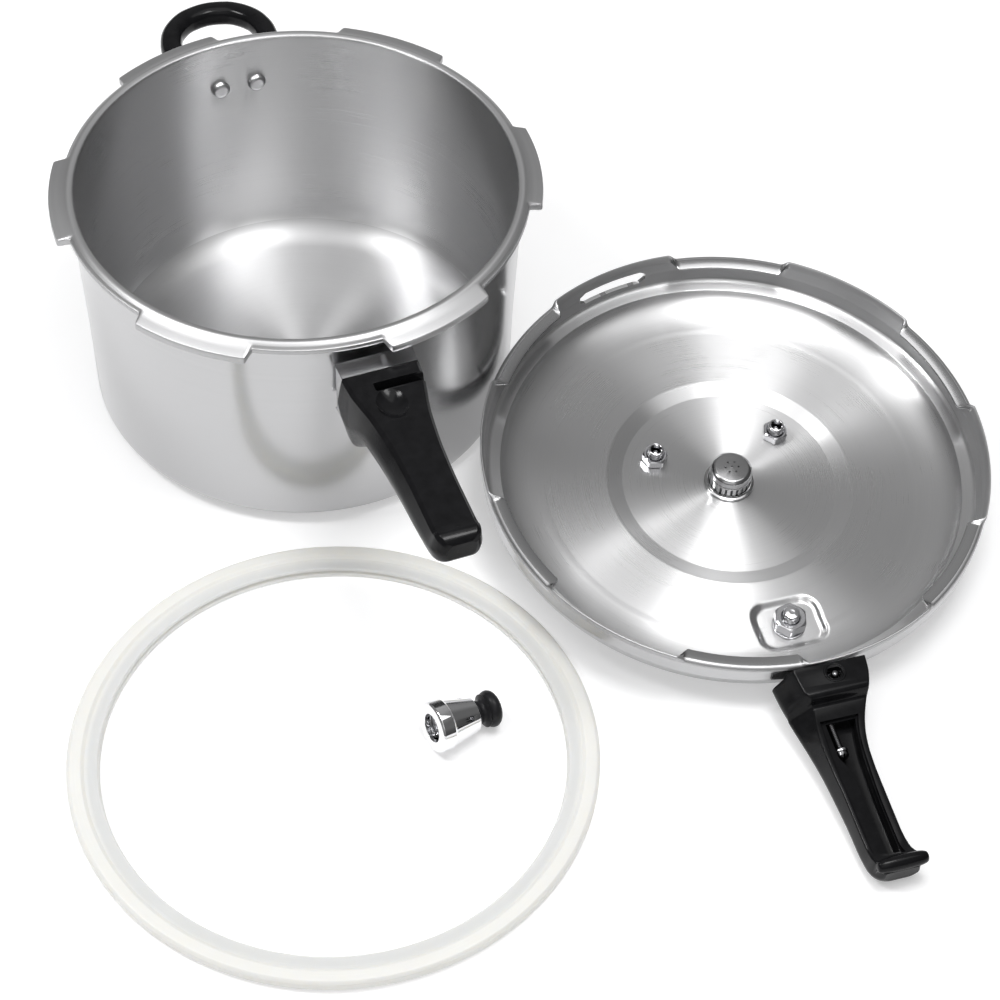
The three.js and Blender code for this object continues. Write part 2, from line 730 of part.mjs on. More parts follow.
const potGroup = new THREE.Group();
const potHandleGroup = turned(POT_HANDLE.azimuth);
const helperGroup = turned(HELPER.azimuth);
potGroup.add(piece("pot_shell", potShell(), brushedAluminium()), potHandleGroup, helperGroup);
potHandleGroup.add(
  piece("pot_handle_grip", potHandle(), blackPhenolic()),
  piece("pot_handle_bracket", potHandleBracket(), steel()),
  piece("pot_handle_bolt", potHandleBolt(), steel()),
  piece("pot_handle_washer", potHandleWasher(), steel()),
);
helperGroup.add(
  piece("helper_handle_loop", helperHandle(), blackPhenolic()),
  piece("helper_handle_bracket", helperBracket(), steel()),
);
for (const [word, side] of [["left", 1], ["right", -1]]) {
  helperGroup.add(
    piece(`helper_rivet_${word}`, helperRivet(side), polishedAluminium()),
    piece(`helper_screw_${word}`, helperScrew(side), steel()),
  );
}

const lidGroup = new THREE.Group();
lidGroup.position.set(LID.x, LID.y, LID.z);
lidGroup.rotation.order = "ZYX";
lidGroup.rotation.set(0, radians(LID.tilt), radians(LID.azimuth));
const at = (manifold, u, v) => manifold.translate([u, v, 0]);
lidGroup.add(
  piece("lid_shell", lidShell(), brushedAluminium()),
  piece("lid_handle_grip", lidHandle(), blackPhenolic()),
  piece("lid_handle_strap", handleStrap(), steel()),
  piece("lid_handle_bolt", handleBolt(), steel()),
  piece("lid_handle_washer", at(ring(4.9, 9.2, -30.7, -29.6), PAD.u, PAD.v), steel()),
  piece("lid_handle_nut", at(nut(16.5, 4.9, -29.3, -22.2), PAD.u, PAD.v), steel()),
  piece("handle_long_screw", handleScrew(), steel()),
  piece("handle_screw_washer", handleScrewWasher(), steel()),
  piece("lock_pin", lockPin(), steel()),
  piece("lock_pin_spring", lockPinSpring(), springSteel()),
  piece("vent_pipe", ventPipe(), steel()),
  piece("vent_pipe_nut", nut(14, 4.5, -30.7, -25.8), steel()),
  piece("strainer_cap", strainerCap(), chrome()),
);
for (const [word, side] of [["left", 1], ["right", -1]]) {
  const v = side * VALVES.spread;
  lidGroup.add(
    piece(`relief_valve_body_${word}`, at(valveBody(), VALVES.u, v), steel()),
    piece(`relief_valve_nut_${word}`, at(nut(13, 4.8, -30.7, -25.8), VALVES.u, v), steel()),
    piece(`relief_valve_seal_${word}`, at(ring(4.9, 8.2, -34.5, -33.3), VALVES.u, v), blackRubber()),
    piece(`relief_valve_pin_${word}`, at(valvePin(), VALVES.u, v), chrome()),
    piece(`relief_valve_spring_${word}`, at(valveSpring(), VALVES.u, v), springSteel()),
  );
}

const gasketGroup = new THREE.Group();
gasketGroup.position.set(GASKET.x, GASKET.y, 0);
gasketGroup.add(piece("sealing_gasket", gasket(), silicone()));

const weightGroup = new THREE.Group();
weightGroup.position.set(WEIGHT.x, WEIGHT.y, WEIGHT.z);
weightGroup.rotation.order = "ZYX";
weightGroup.rotation.set(0, radians(90 + WEIGHT.droop), radians(WEIGHT.azimuth));
weightGroup.add(
  piece("regulator_weight_body", weightBody(), chrome()),
  piece("regulator_weight_clip", weightClip(), springSteel()),
  piece("regulator_weight_stem", weightStem(), steel()),
  piece("regulator_weight_knob", weightKnob(), blackPhenolic()),
);

const cooker = new THREE.Group();
cooker.add(potGroup, lidGroup, gasketGroup, weightGroup);

export default cooker;
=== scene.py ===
"""A stovetop pressure cooker, taken apart and laid out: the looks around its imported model.

Shapes are drawn in millimetres, each in the frame of the group that it belongs to, as the model's are.
"""

import json
import math

import bpy
from mathutils import Matrix, Vector

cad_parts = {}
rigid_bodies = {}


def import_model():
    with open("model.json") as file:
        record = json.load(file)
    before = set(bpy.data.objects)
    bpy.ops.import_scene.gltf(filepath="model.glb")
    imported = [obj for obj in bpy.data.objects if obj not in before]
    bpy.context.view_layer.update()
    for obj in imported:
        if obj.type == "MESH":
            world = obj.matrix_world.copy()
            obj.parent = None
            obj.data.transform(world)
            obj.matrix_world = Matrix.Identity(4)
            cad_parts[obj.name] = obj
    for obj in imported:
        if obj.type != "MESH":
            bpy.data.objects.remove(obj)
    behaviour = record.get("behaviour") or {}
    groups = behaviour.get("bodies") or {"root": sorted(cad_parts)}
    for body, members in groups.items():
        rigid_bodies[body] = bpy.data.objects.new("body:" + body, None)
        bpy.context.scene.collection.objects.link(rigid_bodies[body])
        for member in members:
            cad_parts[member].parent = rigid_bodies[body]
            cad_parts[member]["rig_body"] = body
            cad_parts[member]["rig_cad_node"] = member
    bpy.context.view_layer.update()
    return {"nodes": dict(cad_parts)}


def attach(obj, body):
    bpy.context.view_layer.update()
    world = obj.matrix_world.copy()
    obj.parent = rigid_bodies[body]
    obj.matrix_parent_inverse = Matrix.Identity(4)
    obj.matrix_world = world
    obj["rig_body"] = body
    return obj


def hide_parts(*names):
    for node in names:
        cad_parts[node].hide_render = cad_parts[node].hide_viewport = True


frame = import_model()

MM = 0.001
LUG_COUNT = 6

# ---------- the model's groups ----------

LID_CENTRE = Vector((247.3, -94, 48.1)) * MM
WEIGHT_MOUTH = Vector((87.9, -267, 14.75)) * MM
GASKET_CENTRE = Vector((38, -278, 0)) * MM


def turn_by(degrees, axis):
    return Matrix.Rotation(math.radians(degrees), 4, axis)


POT = Matrix.Identity(4)
POT_HANDLE = turn_by(-67.3, "Z")
HELPER = turn_by(111.7, "Z")
LID = Matrix.Translation(LID_CENTRE) @ turn_by(-72, "Z") @ turn_by(6, "Y")
GASKET = Matrix.Translation(GASKET_CENTRE)
WEIGHT = Matrix.Translation(WEIGHT_MOUTH) @ turn_by(30.7, "Z") @ turn_by(98.01, "Y")


def shifted(group, x=0, y=0, z=0):
    """A group's frame, moved along its own axes by millimetres."""
    return group @ Matrix.Translation(Vector((x, y, z)) * MM)


ALONG_X = turn_by(90, "Y")

# ---------- camera ----------

LENS, SENSOR = 93.62, 36
CAMERA_PLACE = (0.1183, -1.0544, 1.1164)
CAMERA_TILT, CAMERA_ROLL = 0.7091, 0.042


def make_camera():
    data = bpy.data.cameras.new("camera")
    data.sensor_width = SENSOR
    data.lens = LENS
    camera = bpy.data.objects.new("camera", data)
    tilt = Matrix.Rotation(CAMERA_TILT, 4, "X")
    roll = Matrix.Rotation(CAMERA_ROLL, 4, "Z")
    camera.matrix_world = Matrix.Translation(CAMERA_PLACE) @ tilt @ roll
    bpy.context.scene.collection.objects.link(camera)
    bpy.context.scene.camera = camera


make_camera()

# ---------- outlines ----------


def clamp(x):
    """The value held between 0 and 1."""
    return min(max(x, 0.0), 1.0)


def mix(a, b, t):
    """The value at a share t of the way from a to b."""
    return a + (b - a) * t


def ease(start, end, x):
    """0 before start, 1 after end, and a smooth step between them."""
    t = clamp((x - start) / (end - start))
    return t * t * (3 - 2 * t)


def rounded(corners, closed=False, steps=4):
    """A line through corners of (x, y) or (x, y, radius), with each radius drawn as a curve."""
    points = []
    for i, corner in enumerate(corners):
        here = Vector(corner[:2])
        inside = closed or 0 < i < len(corners) - 1
        if len(corner) == 2 or not inside:
            points.append(tuple(here))
            continue
        before = Vector(corners[i - 1][:2]) - here
        after = Vector(corners[(i + 1) % len(corners)][:2]) - here
        reach = corner[2] / math.tan(before.angle(after) / 2)
        reach = min(reach, 0.48 * before.length, 0.48 * after.length)
        start = here + before.normalized() * reach
        end = here + after.normalized() * reach
        for k in range(steps + 1):
            t = k / steps
            points.append(tuple(start * (1 - t) ** 2 + here * 2 * t * (1 - t) + end * t * t))
    return points


def dense(points, spacing):
    """Splits the stretches of a line that are longer than spacing(x) at their middle."""
    result = [points[0]]
    for a, b in zip(points, points[1:]):
        length = math.dist(a, b)
        parts = max(1, math.ceil(length / spacing((a[0] + b[0]) / 2)))
        result += [(mix(a[0], b[0], k / parts), mix(a[1], b[1], k / parts)) for k in range(1, parts + 1)]
    return result


def arc(cx, cy, rx, ry, start, end, steps):
    """Points on an ellipse about (cx, cy), from one angle to another, in degrees."""
    angles = [math.radians(mix(start, end, k / steps)) for k in range(steps + 1)]
    return [(cx + rx * math.cos(a), cy + ry * math.sin(a)) for a in angles]


def smooth(table, at):
    """The value at a place on a smooth curve through a table of (place, value) pairs."""
    if at <= table[0][0]:
        return table[0][1]
    if at >= table[-1][0]:
        return table[-1][1]
    slopes = [(b[1] - a[1]) / (b[0] - a[0]) for a, b in zip(table, table[1:])]
    tangents = [slopes[0]]
    for a, b in zip(slopes, slopes[1:]):
        tangents.append(2 * a * b / (a + b) if a * b > 0 else 0)
    tangents.append(slopes[-1])
    i = max(k for k in range(len(table) - 1) if table[k][0] <= at)
    (x0, y0), (x1, y1) = table[i], table[i + 1]
    h = x1 - x0
    t = (at - x0) / h
    return (
        y0 * (1 + 2 * t) * (1 - t) ** 2
        + tangents[i] * h * t * (1 - t) ** 2
        + y1 * t * t * (3 - 2 * t)
        + tangents[i + 1] * h * t * t * (t - 1)
    )


# ---------- meshes ----------


def shade(mesh, angle):
    """Smooth shading, with sharp edges where faces meet at more than the angle."""
    mesh.shade_smooth()
    mesh.set_sharp_from_angle(angle=math.radians(angle))


def face_out(mesh):
    """Turns every face of a closed mesh outwards."""
    volume = 0
    mesh.calc_loop_triangles()
    for triangle in mesh.loop_triangles:
        a, b, c = (mesh.vertices[i].co for i in triangle.vertices)
        volume += a.dot(b.cross(c))
    if volume < 0:
        mesh.flip_normals()


def solid(name, vertices, faces, sharp=30):
    """An object from vertices in millimetres."""
    mesh = bpy.data.meshes.new(name)
    mesh.from_pydata([Vector(v) * MM for v in vertices], [], faces)
    face_out(mesh)
    shade(mesh, sharp)
    obj = bpy.data.objects.new(name, mesh)
    bpy.context.scene.collection.objects.link(obj)
    return obj


def azimuths(coarse, windows=()):
    """Azimuths all round at a coarse spacing, and closer in each (middle, reach, spacing) window."""
    places = {round(k * coarse, 3) for k in range(round(360 / coarse))}
    for middle, reach, spacing in windows:
        steps = round(2 * reach / spacing)
        places |= {round((middle - reach + k * spacing) % 360, 3) for k in range(steps + 1)}
    return sorted(p for p in places if p < 360)


def turn(name, profile, places=None, sharp=30):
    """Turns a profile of (radius, height) points about Z. It may be a function of the azimuth."""
    places = places or azimuths(2.5)
    shape = profile if callable(profile) else lambda azimuth: profile
    rows = [shape(azimuth) for azimuth in places]
    on_axis = rows[0][0][0] == 0 and rows[0][-1][0] == 0
    vertices = []
    for azimuth, row in zip(places, rows):
        c, s = math.cos(math.radians(azimuth)), math.sin(math.radians(azimuth))
        ring = row[1:-1] if on_axis else row
        vertices += [(r * c, r * s, z) for r, z in ring]
    count = len(rows[0]) - (2 if on_axis else 0)
    faces = []
    poles = len(vertices)
    for s in range(len(places)):
        here, there = s * count, (s + 1) % len(places) * count
        for k in range(count if not on_axis else count - 1):
            n = (k + 1) % count
            faces.append((here + k, there + k, there + n, here + n))
        if on_axis:
            faces.append((poles, there, here))
            faces.append((poles + 1, here + count - 1, there + count - 1))
    if on_axis:
        vertices += [(0, 0, rows[0][0][1]), (0, 0, rows[0][-1][1])]
    return solid(name, vertices, faces, sharp)


def loft(name, loops, sharp=30):
    """Joins like loops of points into a skin, with flat ends."""
    count = len(loops[0])
    vertices = [point for loop in loops for point in loop]
    faces = []
    for s in range(len(loops) - 1):
        here, there = s * count, (s + 1) * count
        for k in range(count):
            n = (k + 1) % count
            faces.append((here + k, here + n, there + n, there + k))
    faces.append(tuple(range(count)))
    faces.append(tuple(reversed(range(len(vertices) - count, len(vertices)))))
    return solid(name, vertices, faces, sharp)


def bake(obj, sharp=30):
    """Applies the modifiers."""
    evaluated = obj.evaluated_get(bpy.context.evaluated_depsgraph_get())
    mesh = bpy.data.meshes.new_from_object(evaluated)
    obj.modifiers.clear()
    obj.data = mesh
    shade(mesh, sharp)
    return obj


def combine(obj, others, operation="DIFFERENCE", sharp=30):
    """Cuts the other solids from obj, or joins them to it, and removes them."""
    for other in others:
        modifier = obj.modifiers.new("combine", "BOOLEAN")
        modifier.operation = operation
        modifier.solver = "EXACT"
        modifier.object = other
    bake(obj, sharp)
    for other in others:
        bpy.data.objects.remove(other)
    return obj


def soften(obj, width, segments=2, angle=35):
    """Rounds the edges that are sharper than the angle."""
    modifier = obj.modifiers.new("soften", "BEVEL")
    modifier.width = width * MM
    modifier.segments = segments
    modifier.limit_method = "ANGLE"
    modifier.angle_limit = math.radians(angle)
    modifier.use_clamp_overlap = True
    return bake(obj)


def moved(obj, matrix):
    """Moves a solid within its drawing."""
    obj.data.transform(matrix)
    return obj


def offset(x=0, y=0, z=0):
    """A move within a drawing, in millimetres."""
    return Matrix.Translation(Vector((x, y, z)) * MM)


def rod(name, radius, z0, z1, spacing=7.5):
    """A cylinder along Z, with a side every so many degrees."""
    profile = [(0, z0), (radius, z0), (radius, z1), (0, z1)]
    return turn(name, profile, azimuths(spacing))


def block(name, x, y, z, radius=0.0):
    """A block between pairs of limits, with round corners seen from above."""
    corners = [(x[0], y[0], radius), (x[1], y[0], radius), (x[1], y[1], radius), (x[0], y[1], radius)]
    loop = rounded(corners, closed=True) if radius else [c[:2] for c in corners]
    return loft(name, [[(a, b, w) for a, b in loop] for w in z])


def washer(name, inner, outer, z0, z1, near=0.2, far=0.3, spacing=7.5):
    """A flat ring along Z, with its inner and outer edges rounded."""
    corners = [(inner, z0, near), (outer, z0, far), (outer, z1, far), (inner, z1, near)]
    return turn(name, rounded(corners, closed=True), azimuths(spacing))


def merged(name, objects):
    """Several separate solids as one object."""
    vertices, faces = [], []
    for obj in objects:
        start = len(vertices)
        vertices += [v.co / MM for v in obj.data.vertices]
        faces += [tuple(start + i for i in p.vertices) for p in obj.data.polygons]
        bpy.data.objects.remove(obj)
    mesh = bpy.data.meshes.new(name)
    mesh.from_pydata([v * MM for v in vertices], [], faces)
    obj = bpy.data.objects.new(name, mesh)
    bpy.context.scene.collection.objects.link(obj)
    return obj


# ---------- materials ----------


def add(tree, kind, inputs=None, **settings):
    """A shader node, with a link to each input that is a socket and a value in each other."""
    node = tree.nodes.new("ShaderNode" + kind)
    for name, value in settings.items():
        setattr(node, name, value)
    for name, value in (inputs or {}).items():
        if isinstance(value, bpy.types.NodeSocket):
            tree.links.new(value, node.inputs[name])
        else:
            node.inputs[name].default_value = value
    return node


def shader(name, **values):
    """A material with constant values on its shader's own sockets."""
    material = bpy.data.materials.new(name)
    material.use_nodes = True
    tree = material.node_tree
    principled = tree.nodes["Principled BSDF"]
    for key, value in values.items():
        socket = principled.inputs[key.replace("_", " ")]
        socket.default_value = (*value, 1) if key == "Base_Color" else value
    return material, tree, principled


def scaled(tree, vector, size):
    """Object coordinates as counts of a feature of that size, in millimetres."""
    factor = 1 / (size * MM)
    inputs = {0: vector, 1: (factor, factor, factor)}
    return add(tree, "VectorMath", inputs, operation="MULTIPLY").outputs[0]


def noise(tree, vector, detail=3.0, roughness=0.55):
    """Cloudy noise, with features about as large as one unit of its place."""
    inputs = {"Vector": vector, "Scale": 1.0, "Detail": detail, "Roughness": roughness}
    return add(tree, "TexNoise", inputs).outputs["Fac"]


def ramped(tree, value, low, high):
    """The value's middle half spread between low and high."""
    inputs = {"Value": value, "From Min": 0.25, "From Max": 0.75, "To Min": low, "To Max": high}
    return add(tree, "MapRange", inputs).outputs["Result"]


MIX_DARK, MIX_LIGHT, MIX_COLOR = 6, 7, 2


def tinted(tree, value, dark, light):
    """A colour between dark and light."""
    node = tree.nodes.new("ShaderNodeMix")
    node.data_type = "RGBA"
    tree.links.new(value, node.inputs["Factor"])
    node.inputs[MIX_DARK].default_value = (*dark, 1)
    node.inputs[MIX_LIGHT].default_value = (*light, 1)
    return node.outputs[MIX_COLOR]


def bump(tree, principled, height, strength, distance):
    """Relief of a depth in millimetres."""
    inputs = {"Height": height, "Strength": strength, "Distance": distance * MM}
    node = add(tree, "Bump", inputs)
    tree.links.new(node.outputs["Normal"], principled.inputs["Normal"])


def round_axis(tree, place):
    """A place that is the same all round the piece's own axis."""
    parts = add(tree, "SeparateXYZ", {0: place}).outputs
    flat = add(tree, "CombineXYZ", {"X": parts["X"], "Y": parts["Y"]}).outputs[0]
    radius = add(tree, "VectorMath", {0: flat}, operation="LENGTH").outputs["Value"]
    return add(tree, "CombineXYZ", {"X": radius, "Y": parts["Z"]}).outputs[0]


def spun(name, color, roughness, anisotropic, line=0.5, depth=0.004, spread=0.05, metallic=1.0):
    """Metal turned on a lathe, with fine rings about the piece's own axis."""
    constants = {"Metallic": metallic, "Roughness": roughness, "Anisotropic": anisotropic}
    material, tree, principled = shader(name, **constants)
    principled.inputs["Anisotropic Rotation"].default_value = 0.25
    place = add(tree, "TexCoord").outputs["Object"]
    fine = noise(tree, scaled(tree, round_axis(tree, place), line), 4.0, 0.7)
    cloud = noise(tree, scaled(tree, place, 45), 2.0)
    both = add(tree, "Math", {0: fine, 1: cloud}, operation="ADD").outputs[0]
    low, high = roughness - spread, roughness + spread
    inputs = {"Value": both, "From Min": 0.6, "From Max": 1.4, "To Min": low, "To Max": high}
    tree.links.new(add(tree, "MapRange", inputs).outputs["Result"], principled.inputs["Roughness"])
    dark = tuple(0.93 * c for c in color)
    tint = tinted(tree, ramped(tree, fine, 0, 1), dark, color)
    tree.links.new(tint, principled.inputs["Base Color"])
    bump(tree, principled, fine, 0.35, depth)
    tangent = add(tree, "Tangent", direction_type="RADIAL", axis="Z").outputs[0]
    tree.links.new(tangent, principled.inputs["Tangent"])
    return material


def metal(name, color, roughness, depth=0.004, spread=0.04):
    """Plated or polished metal with faint handling marks."""
    material, tree, principled = shader(name, Metallic=1.0, Roughness=roughness)
    place = add(tree, "TexCoord").outputs["Object"]
    fine = noise(tree, scaled(tree, place, 0.6), 4.0)
    cloud = noise(tree, scaled(tree, place, 9), 3.0)
    rough = ramped(tree, cloud, max(roughness - spread, 0.02), roughness + spread)
    tree.links.new(rough, principled.inputs["Roughness"])
    dark = tuple(0.94 * c for c in color)
    tint = tinted(tree, ramped(tree, cloud, 0, 1), dark, color)
    tree.links.new(tint, principled.inputs["Base Color"])
    bump(tree, principled, fine, 0.25, depth)
    return material


def phenolic(name, color, roughness):
    """Glossy moulded resin with a faint ripple and flow marks."""
    material, tree, principled = shader(name, Specular_IOR_Level=0.14)
    place = add(tree, "TexCoord").outputs["Object"]
    ripple = noise(tree, scaled(tree, place, 6), 2.0)
    speck = noise(tree, scaled(tree, place, 0.5), 3.0)
    rough = ramped(tree, speck, roughness - 0.05, roughness + 0.06)
    tree.links.new(rough, principled.inputs["Roughness"])
    light = tuple(1.8 * c for c in color)
    tint = tinted(tree, ramped(tree, ripple, 0, 1), color, light)
    tree.links.new(tint, principled.inputs["Base Color"])
    height = add(tree, "Math", {0: ripple, 1: speck}, operation="ADD").outputs[0]
    bump(tree, principled, height, 0.12, 0.05)
    return material


def silicone(name):
    """Clear silicone gone slightly milky, with moulding rings."""
    material, tree, principled = shader(
        name,
        Roughness=0.38,
        IOR=1.41,
        Subsurface_Weight=0.55,
        Subsurface_Scale=0.012,
        Transmission_Weight=0.12,
        Coat_Weight=0.15,
        Coat_Roughness=0.3,
    )
    principled.inputs["Subsurface Radius"].default_value = (1.0, 0.9, 0.75)
    place = add(tree, "TexCoord").outputs["Object"]
    lines = noise(tree, scaled(tree, round_axis(tree, place), 1.2), 2.0)
    cloud = noise(tree, scaled(tree, place, 30), 2.0)
    both = add(tree, "Math", {0: lines, 1: cloud}, operation="MULTIPLY").outputs[0]
    color = tinted(tree, ramped(tree, both, 0, 1), (0.80, 0.795, 0.765), (0.87, 0.865, 0.84))
    tree.links.new(color, principled.inputs["Base Color"])
    bump(tree, principled, lines, 0.2, 0.05)
    return material


def rubber(name):
    """Matt black rubber."""
    material, tree, principled = shader(name, Roughness=0.7)
    place = add(tree, "TexCoord").outputs["Object"]
    fine = noise(tree, scaled(tree, place, 0.7), 3.0)
    tint = tinted(tree, fine, (0.012, 0.012, 0.012), (0.035, 0.035, 0.035))
    tree.links.new(tint, principled.inputs["Base Color"])
    bump(tree, principled, fine, 0.3, 0.05)
    return material


BRUSHED = spun("brushed_aluminium_inside", (0.72, 0.72, 0.725), 0.3, 0.95, line=0.3, depth=0.006)
# The pot's bottom inside: the wall's brushed metal made rougher, and coloured darker as painted shade.
SHADED_BASE = spun("brushed_aluminium_base_painted_shade", (0.54, 0.54, 0.545), 0.42, 0.85, line=0.4, depth=0.012)
POLISHED = spun("polished_aluminium_outside", (0.48, 0.48, 0.485), 0.18, 0.4, depth=0.002, spread=0.03)
SATIN = spun("satin_aluminium_rim", (0.45, 0.45, 0.455), 0.42, 0.0, line=0.8, depth=0.008, metallic=0.85)
RIVET = metal("rivet_aluminium", (0.80, 0.80, 0.81), 0.3)
STEEL = metal("bright_steel", (0.62, 0.62, 0.63), 0.18)
ZINC = metal("zinc_plate", (0.74, 0.74, 0.76), 0.14)
CHROME = metal("chrome_plate", (0.86, 0.86, 0.87), 0.05, depth=0.001, spread=0.02)
STRAINER = metal("strainer_steel", (0.42, 0.42, 0.425), 0.16)
WIRE = metal("spring_wire", (0.5, 0.5, 0.52), 0.3)
# Steel coloured dark. On the lock pin the dark colour is a painted dark reflection.
STEEL_PAINTED_DARK = metal("steel_painted_dark", (0.16, 0.16, 0.165), 0.24)
BLACK = phenolic("black_phenolic", (0.005, 0.005, 0.0055), 0.15)
KNOB = phenolic("black_phenolic_knob", (0.011, 0.011, 0.012), 0.34)
CLEAR = silicone("clear_silicone")
SEAL = rubber("black_rubber")


def finished(obj, group, body, slot, material, *nodes):
    """Places a piece that stands for CAD nodes on its body, with its material if it isn't painted."""
    if material:
        obj.data.materials.clear()
        obj.data.materials.append(material)
    obj.matrix_world = group
    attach(obj, body)
    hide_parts(*nodes)


def paint(obj, materials, zone):
    """Gives each face the material that zone(radius, height, outward, up) picks, in millimetres."""
    for material in materials:
        obj.data.materials.append(material)
    for face in obj.data.polygons:
        x, y, z = face.center / MM
        r = math.hypot(x, y)
        outward = (face.normal.x * x + face.normal.y * y) / max(r, 1e-6)
        face.material_index = zone(r, z, outward, face.normal.z)


INSIDE, OUTSIDE, RIM, BOTTOM = range(4)

# ---------- pot ----------

LUG_FIRST, LUG_HALF, LUG_RAMP = 9.7, 14.0, 0.8
LUG_PITCH = 360 / LUG_COUNT
RIM_RADIUS, LUG_RADIUS = 128.5, 135.0
RIM_LOW, LUG_LOW = 144.3, 141.8
RIM_HIGH, LUG_HIGH = 147.6, 146.8


def sixfold(azimuth, middle):
    """Degrees from the nearest of six places spaced round from middle."""
    return abs((azimuth - middle + LUG_PITCH / 2) % LUG_PITCH - LUG_PITCH / 2)


def ends_of_six(first, half, reach, spacing):
    """Windows of closer azimuths at both ends of six lugs or lips."""
    middles = [first + LUG_PITCH * i for i in range(LUG_COUNT)]
    return [(middle + side * half, reach, spacing) for middle in middles for side in (-1, 1)]


def pot_profile(azimuth):
    """The pot's section: its outside from the middle out, its flange and rim, then its inside."""
    lug = 1 - ease(LUG_HALF - LUG_RAMP, LUG_HALF + LUG_RAMP, sixfold(azimuth, LUG_FIRST))
    edge = mix(RIM_RADIUS, LUG_RADIUS, lug)
    corner = mix(0.8, 1.0, lug)
    low = mix(RIM_LOW, LUG_LOW, lug)
    high = mix(RIM_HIGH, LUG_HIGH, lug)
    foot = [(0, 0.8), (100, 0.8, 0.6), (101.5, 0, 0.6), (108.6, 0, 3), (112.2, 1.7, 0.5)]
    wall = [(112.3, 2.5, 0.3), (113.6, 3.0, 0.5), (120.4, 8.5, 9), (121.2, 60), (123.9, 137, 2)]
    outside = rounded([*foot, *wall, (124.0, 140.8, 1.2)])
    flange = [
        (edge - corner - 2.4, low), (edge - corner, low), (edge - 0.3 * corner, low + 0.3 * corner),
        (edge, low + corner), (edge, high - corner), (edge - 0.3 * corner, high - 0.3 * corner),
        (edge - corner, high), (mix(127.2, 130.5, lug), mix(148.5, 147.6, lug)),
    ]
    bead = rounded([(126.4, 149.1), (124.4, 150.3, 2.5), (121.0, 149.6, 3.4), (121.0, 143)], steps=6)
    corner = arc(98, 23, 19.3, 19.2, 0, -90, 14)
    inside = [(120.9, 138), (120.2, 100), *corner, (80, 3.8), (40, 3.8), (0, 3.8)]
    return outside + flange + bead + inside


def pot_zone(radius, height, outward, up):
    """Which finish a face of the pot has. Its bottom inside is rougher than its wall, and coloured
    darker than the wall as painted shade.
    """
    if height > 141.3 and radius > 121.4:
        return RIM
    # The bottom inside gets the darker metal: painted shade.
    if up > 0.2 and 2.6 < height < 12:
        return BOTTOM
    return INSIDE if outward < -0.2 or (up > 0.2 and height > 2.6 and radius < 119) else OUTSIDE


def make_pot():
    ends = ends_of_six(LUG_FIRST, LUG_HALF, 1.2, 0.24)
    pot = turn("pot", pot_profile, azimuths(1.25, ends), sharp=40)
    paint(pot, [BRUSHED, POLISHED, SATIN, SHADED_BASE], pot_zone)
    finished(pot, POT, "pot", "brushed_aluminium", None, "pot_shell")


make_pot()

HELPER_HEIGHT, RIVET_SPREAD, RIVET_SEAT = 119.5, 10.8, 118.4


def make_rivets():
    crown = arc(2.6, -0.4, 2.6, 1.9, -80, -8, 8)
    head = [(0, -2.3), (2.6, -2.3), *crown, (5.4, -0.1), (5.4, 0.4), (2.4, 0.5)]
    dome = arc(0, 8.6, 4.2, 1.5, 0, 90, 6)
    tail = [(2.4, 8.2), (4.2, 8.2), *dome[:-1], (0, dome[-1][1])]
    for word, side in (("left", 1), ("right", -1)):
        rivet = moved(turn(f"rivet_{word}", head + tail, azimuths(7.5)), ALONG_X)
        group = shifted(HELPER, RIVET_SEAT, side * RIVET_SPREAD, HELPER_HEIGHT)
        finished(rivet, group, "pot", "polished_aluminium", RIVET, f"helper_rivet_{word}")


make_rivets()

# ---------- pot handle ----------

POT_TOP, POT_ROOT = 136.5, 138.6
POT_END_FROM, POT_END_LENGTH, POT_END_REACH = 253.5, 8.15, 8.2
POT_BOLT_HEIGHT = 113
POT_HALF = [
    (138, 21.4), (150, 20.4), (158, 18.8), (170, 16.2), (185, 14.2), (200, 12.9), (225, 12.1),
    (262, 12.0),
]
POT_DEPTH = [
    (138, 30), (141, 37), (146, 42), (151, 41), (158, 34.5), (165, 27), (175, 20.5), (190, 17.8),
    (262, 16.5),
]
POT_BELLY = [(138, 0.8), (150, 0.8), (160, 0.8), (180, 0.88), (262, 0.9)]
POT_BULGE = [(138, 1.6), (152, 1.6), (168, 1.2), (185, 1.0), (262, 0.8)]
POT_LEFT_BULGE = [
    (138, 2.4), (152, 3.2), (168, 4.6), (185, 5.4), (220, 4.6), (250, 3.0), (262, 1.2),
]
POT_RISE = [(138, 0), (247, 0), (251, 0.4), (254.5, 1.9), (258, 1.9), (262, 1.2)]


def end_share(u, start, reach):
    """0 up to the start of a rounded end, and up to 1 at its reach, as on a quarter circle."""
    if u <= start:
        return 0
    return 1 - math.sqrt(max(0.0, 1 - ((u - start) / reach) ** 2))


def pot_handle_loop(u):
    """The grip's section at a distance from the pot's axis: u outwards, v across and w up."""
    end = end_share(u, POT_END_FROM, POT_END_REACH)
    a = smooth(POT_HALF, u) - 5.5 * end
    high = POT_TOP + smooth(POT_RISE, u) - 3.6 * end
    low = POT_TOP - smooth(POT_DEPTH, u) + 5 * end
    middle = mix(low, high, 0.45)
    belly = a * smooth(POT_BELLY, u)
    bulge = a + smooth(POT_BULGE, u)
    left = a + smooth(POT_LEFT_BULGE, u)
    corners = [
        (-a + 2.0, high, 0.9), (a - 2.0, high, 0.9), (a, high - 1.9, 1.4), (bulge, middle, 9),
        (belly, low, 7), (-belly - left + a, low, 7), (-left, middle, 9), (-a, high - 1.9, 1.4),
    ]
    return [(u, v, w) for v, w in rounded(corners, closed=True, steps=5)]


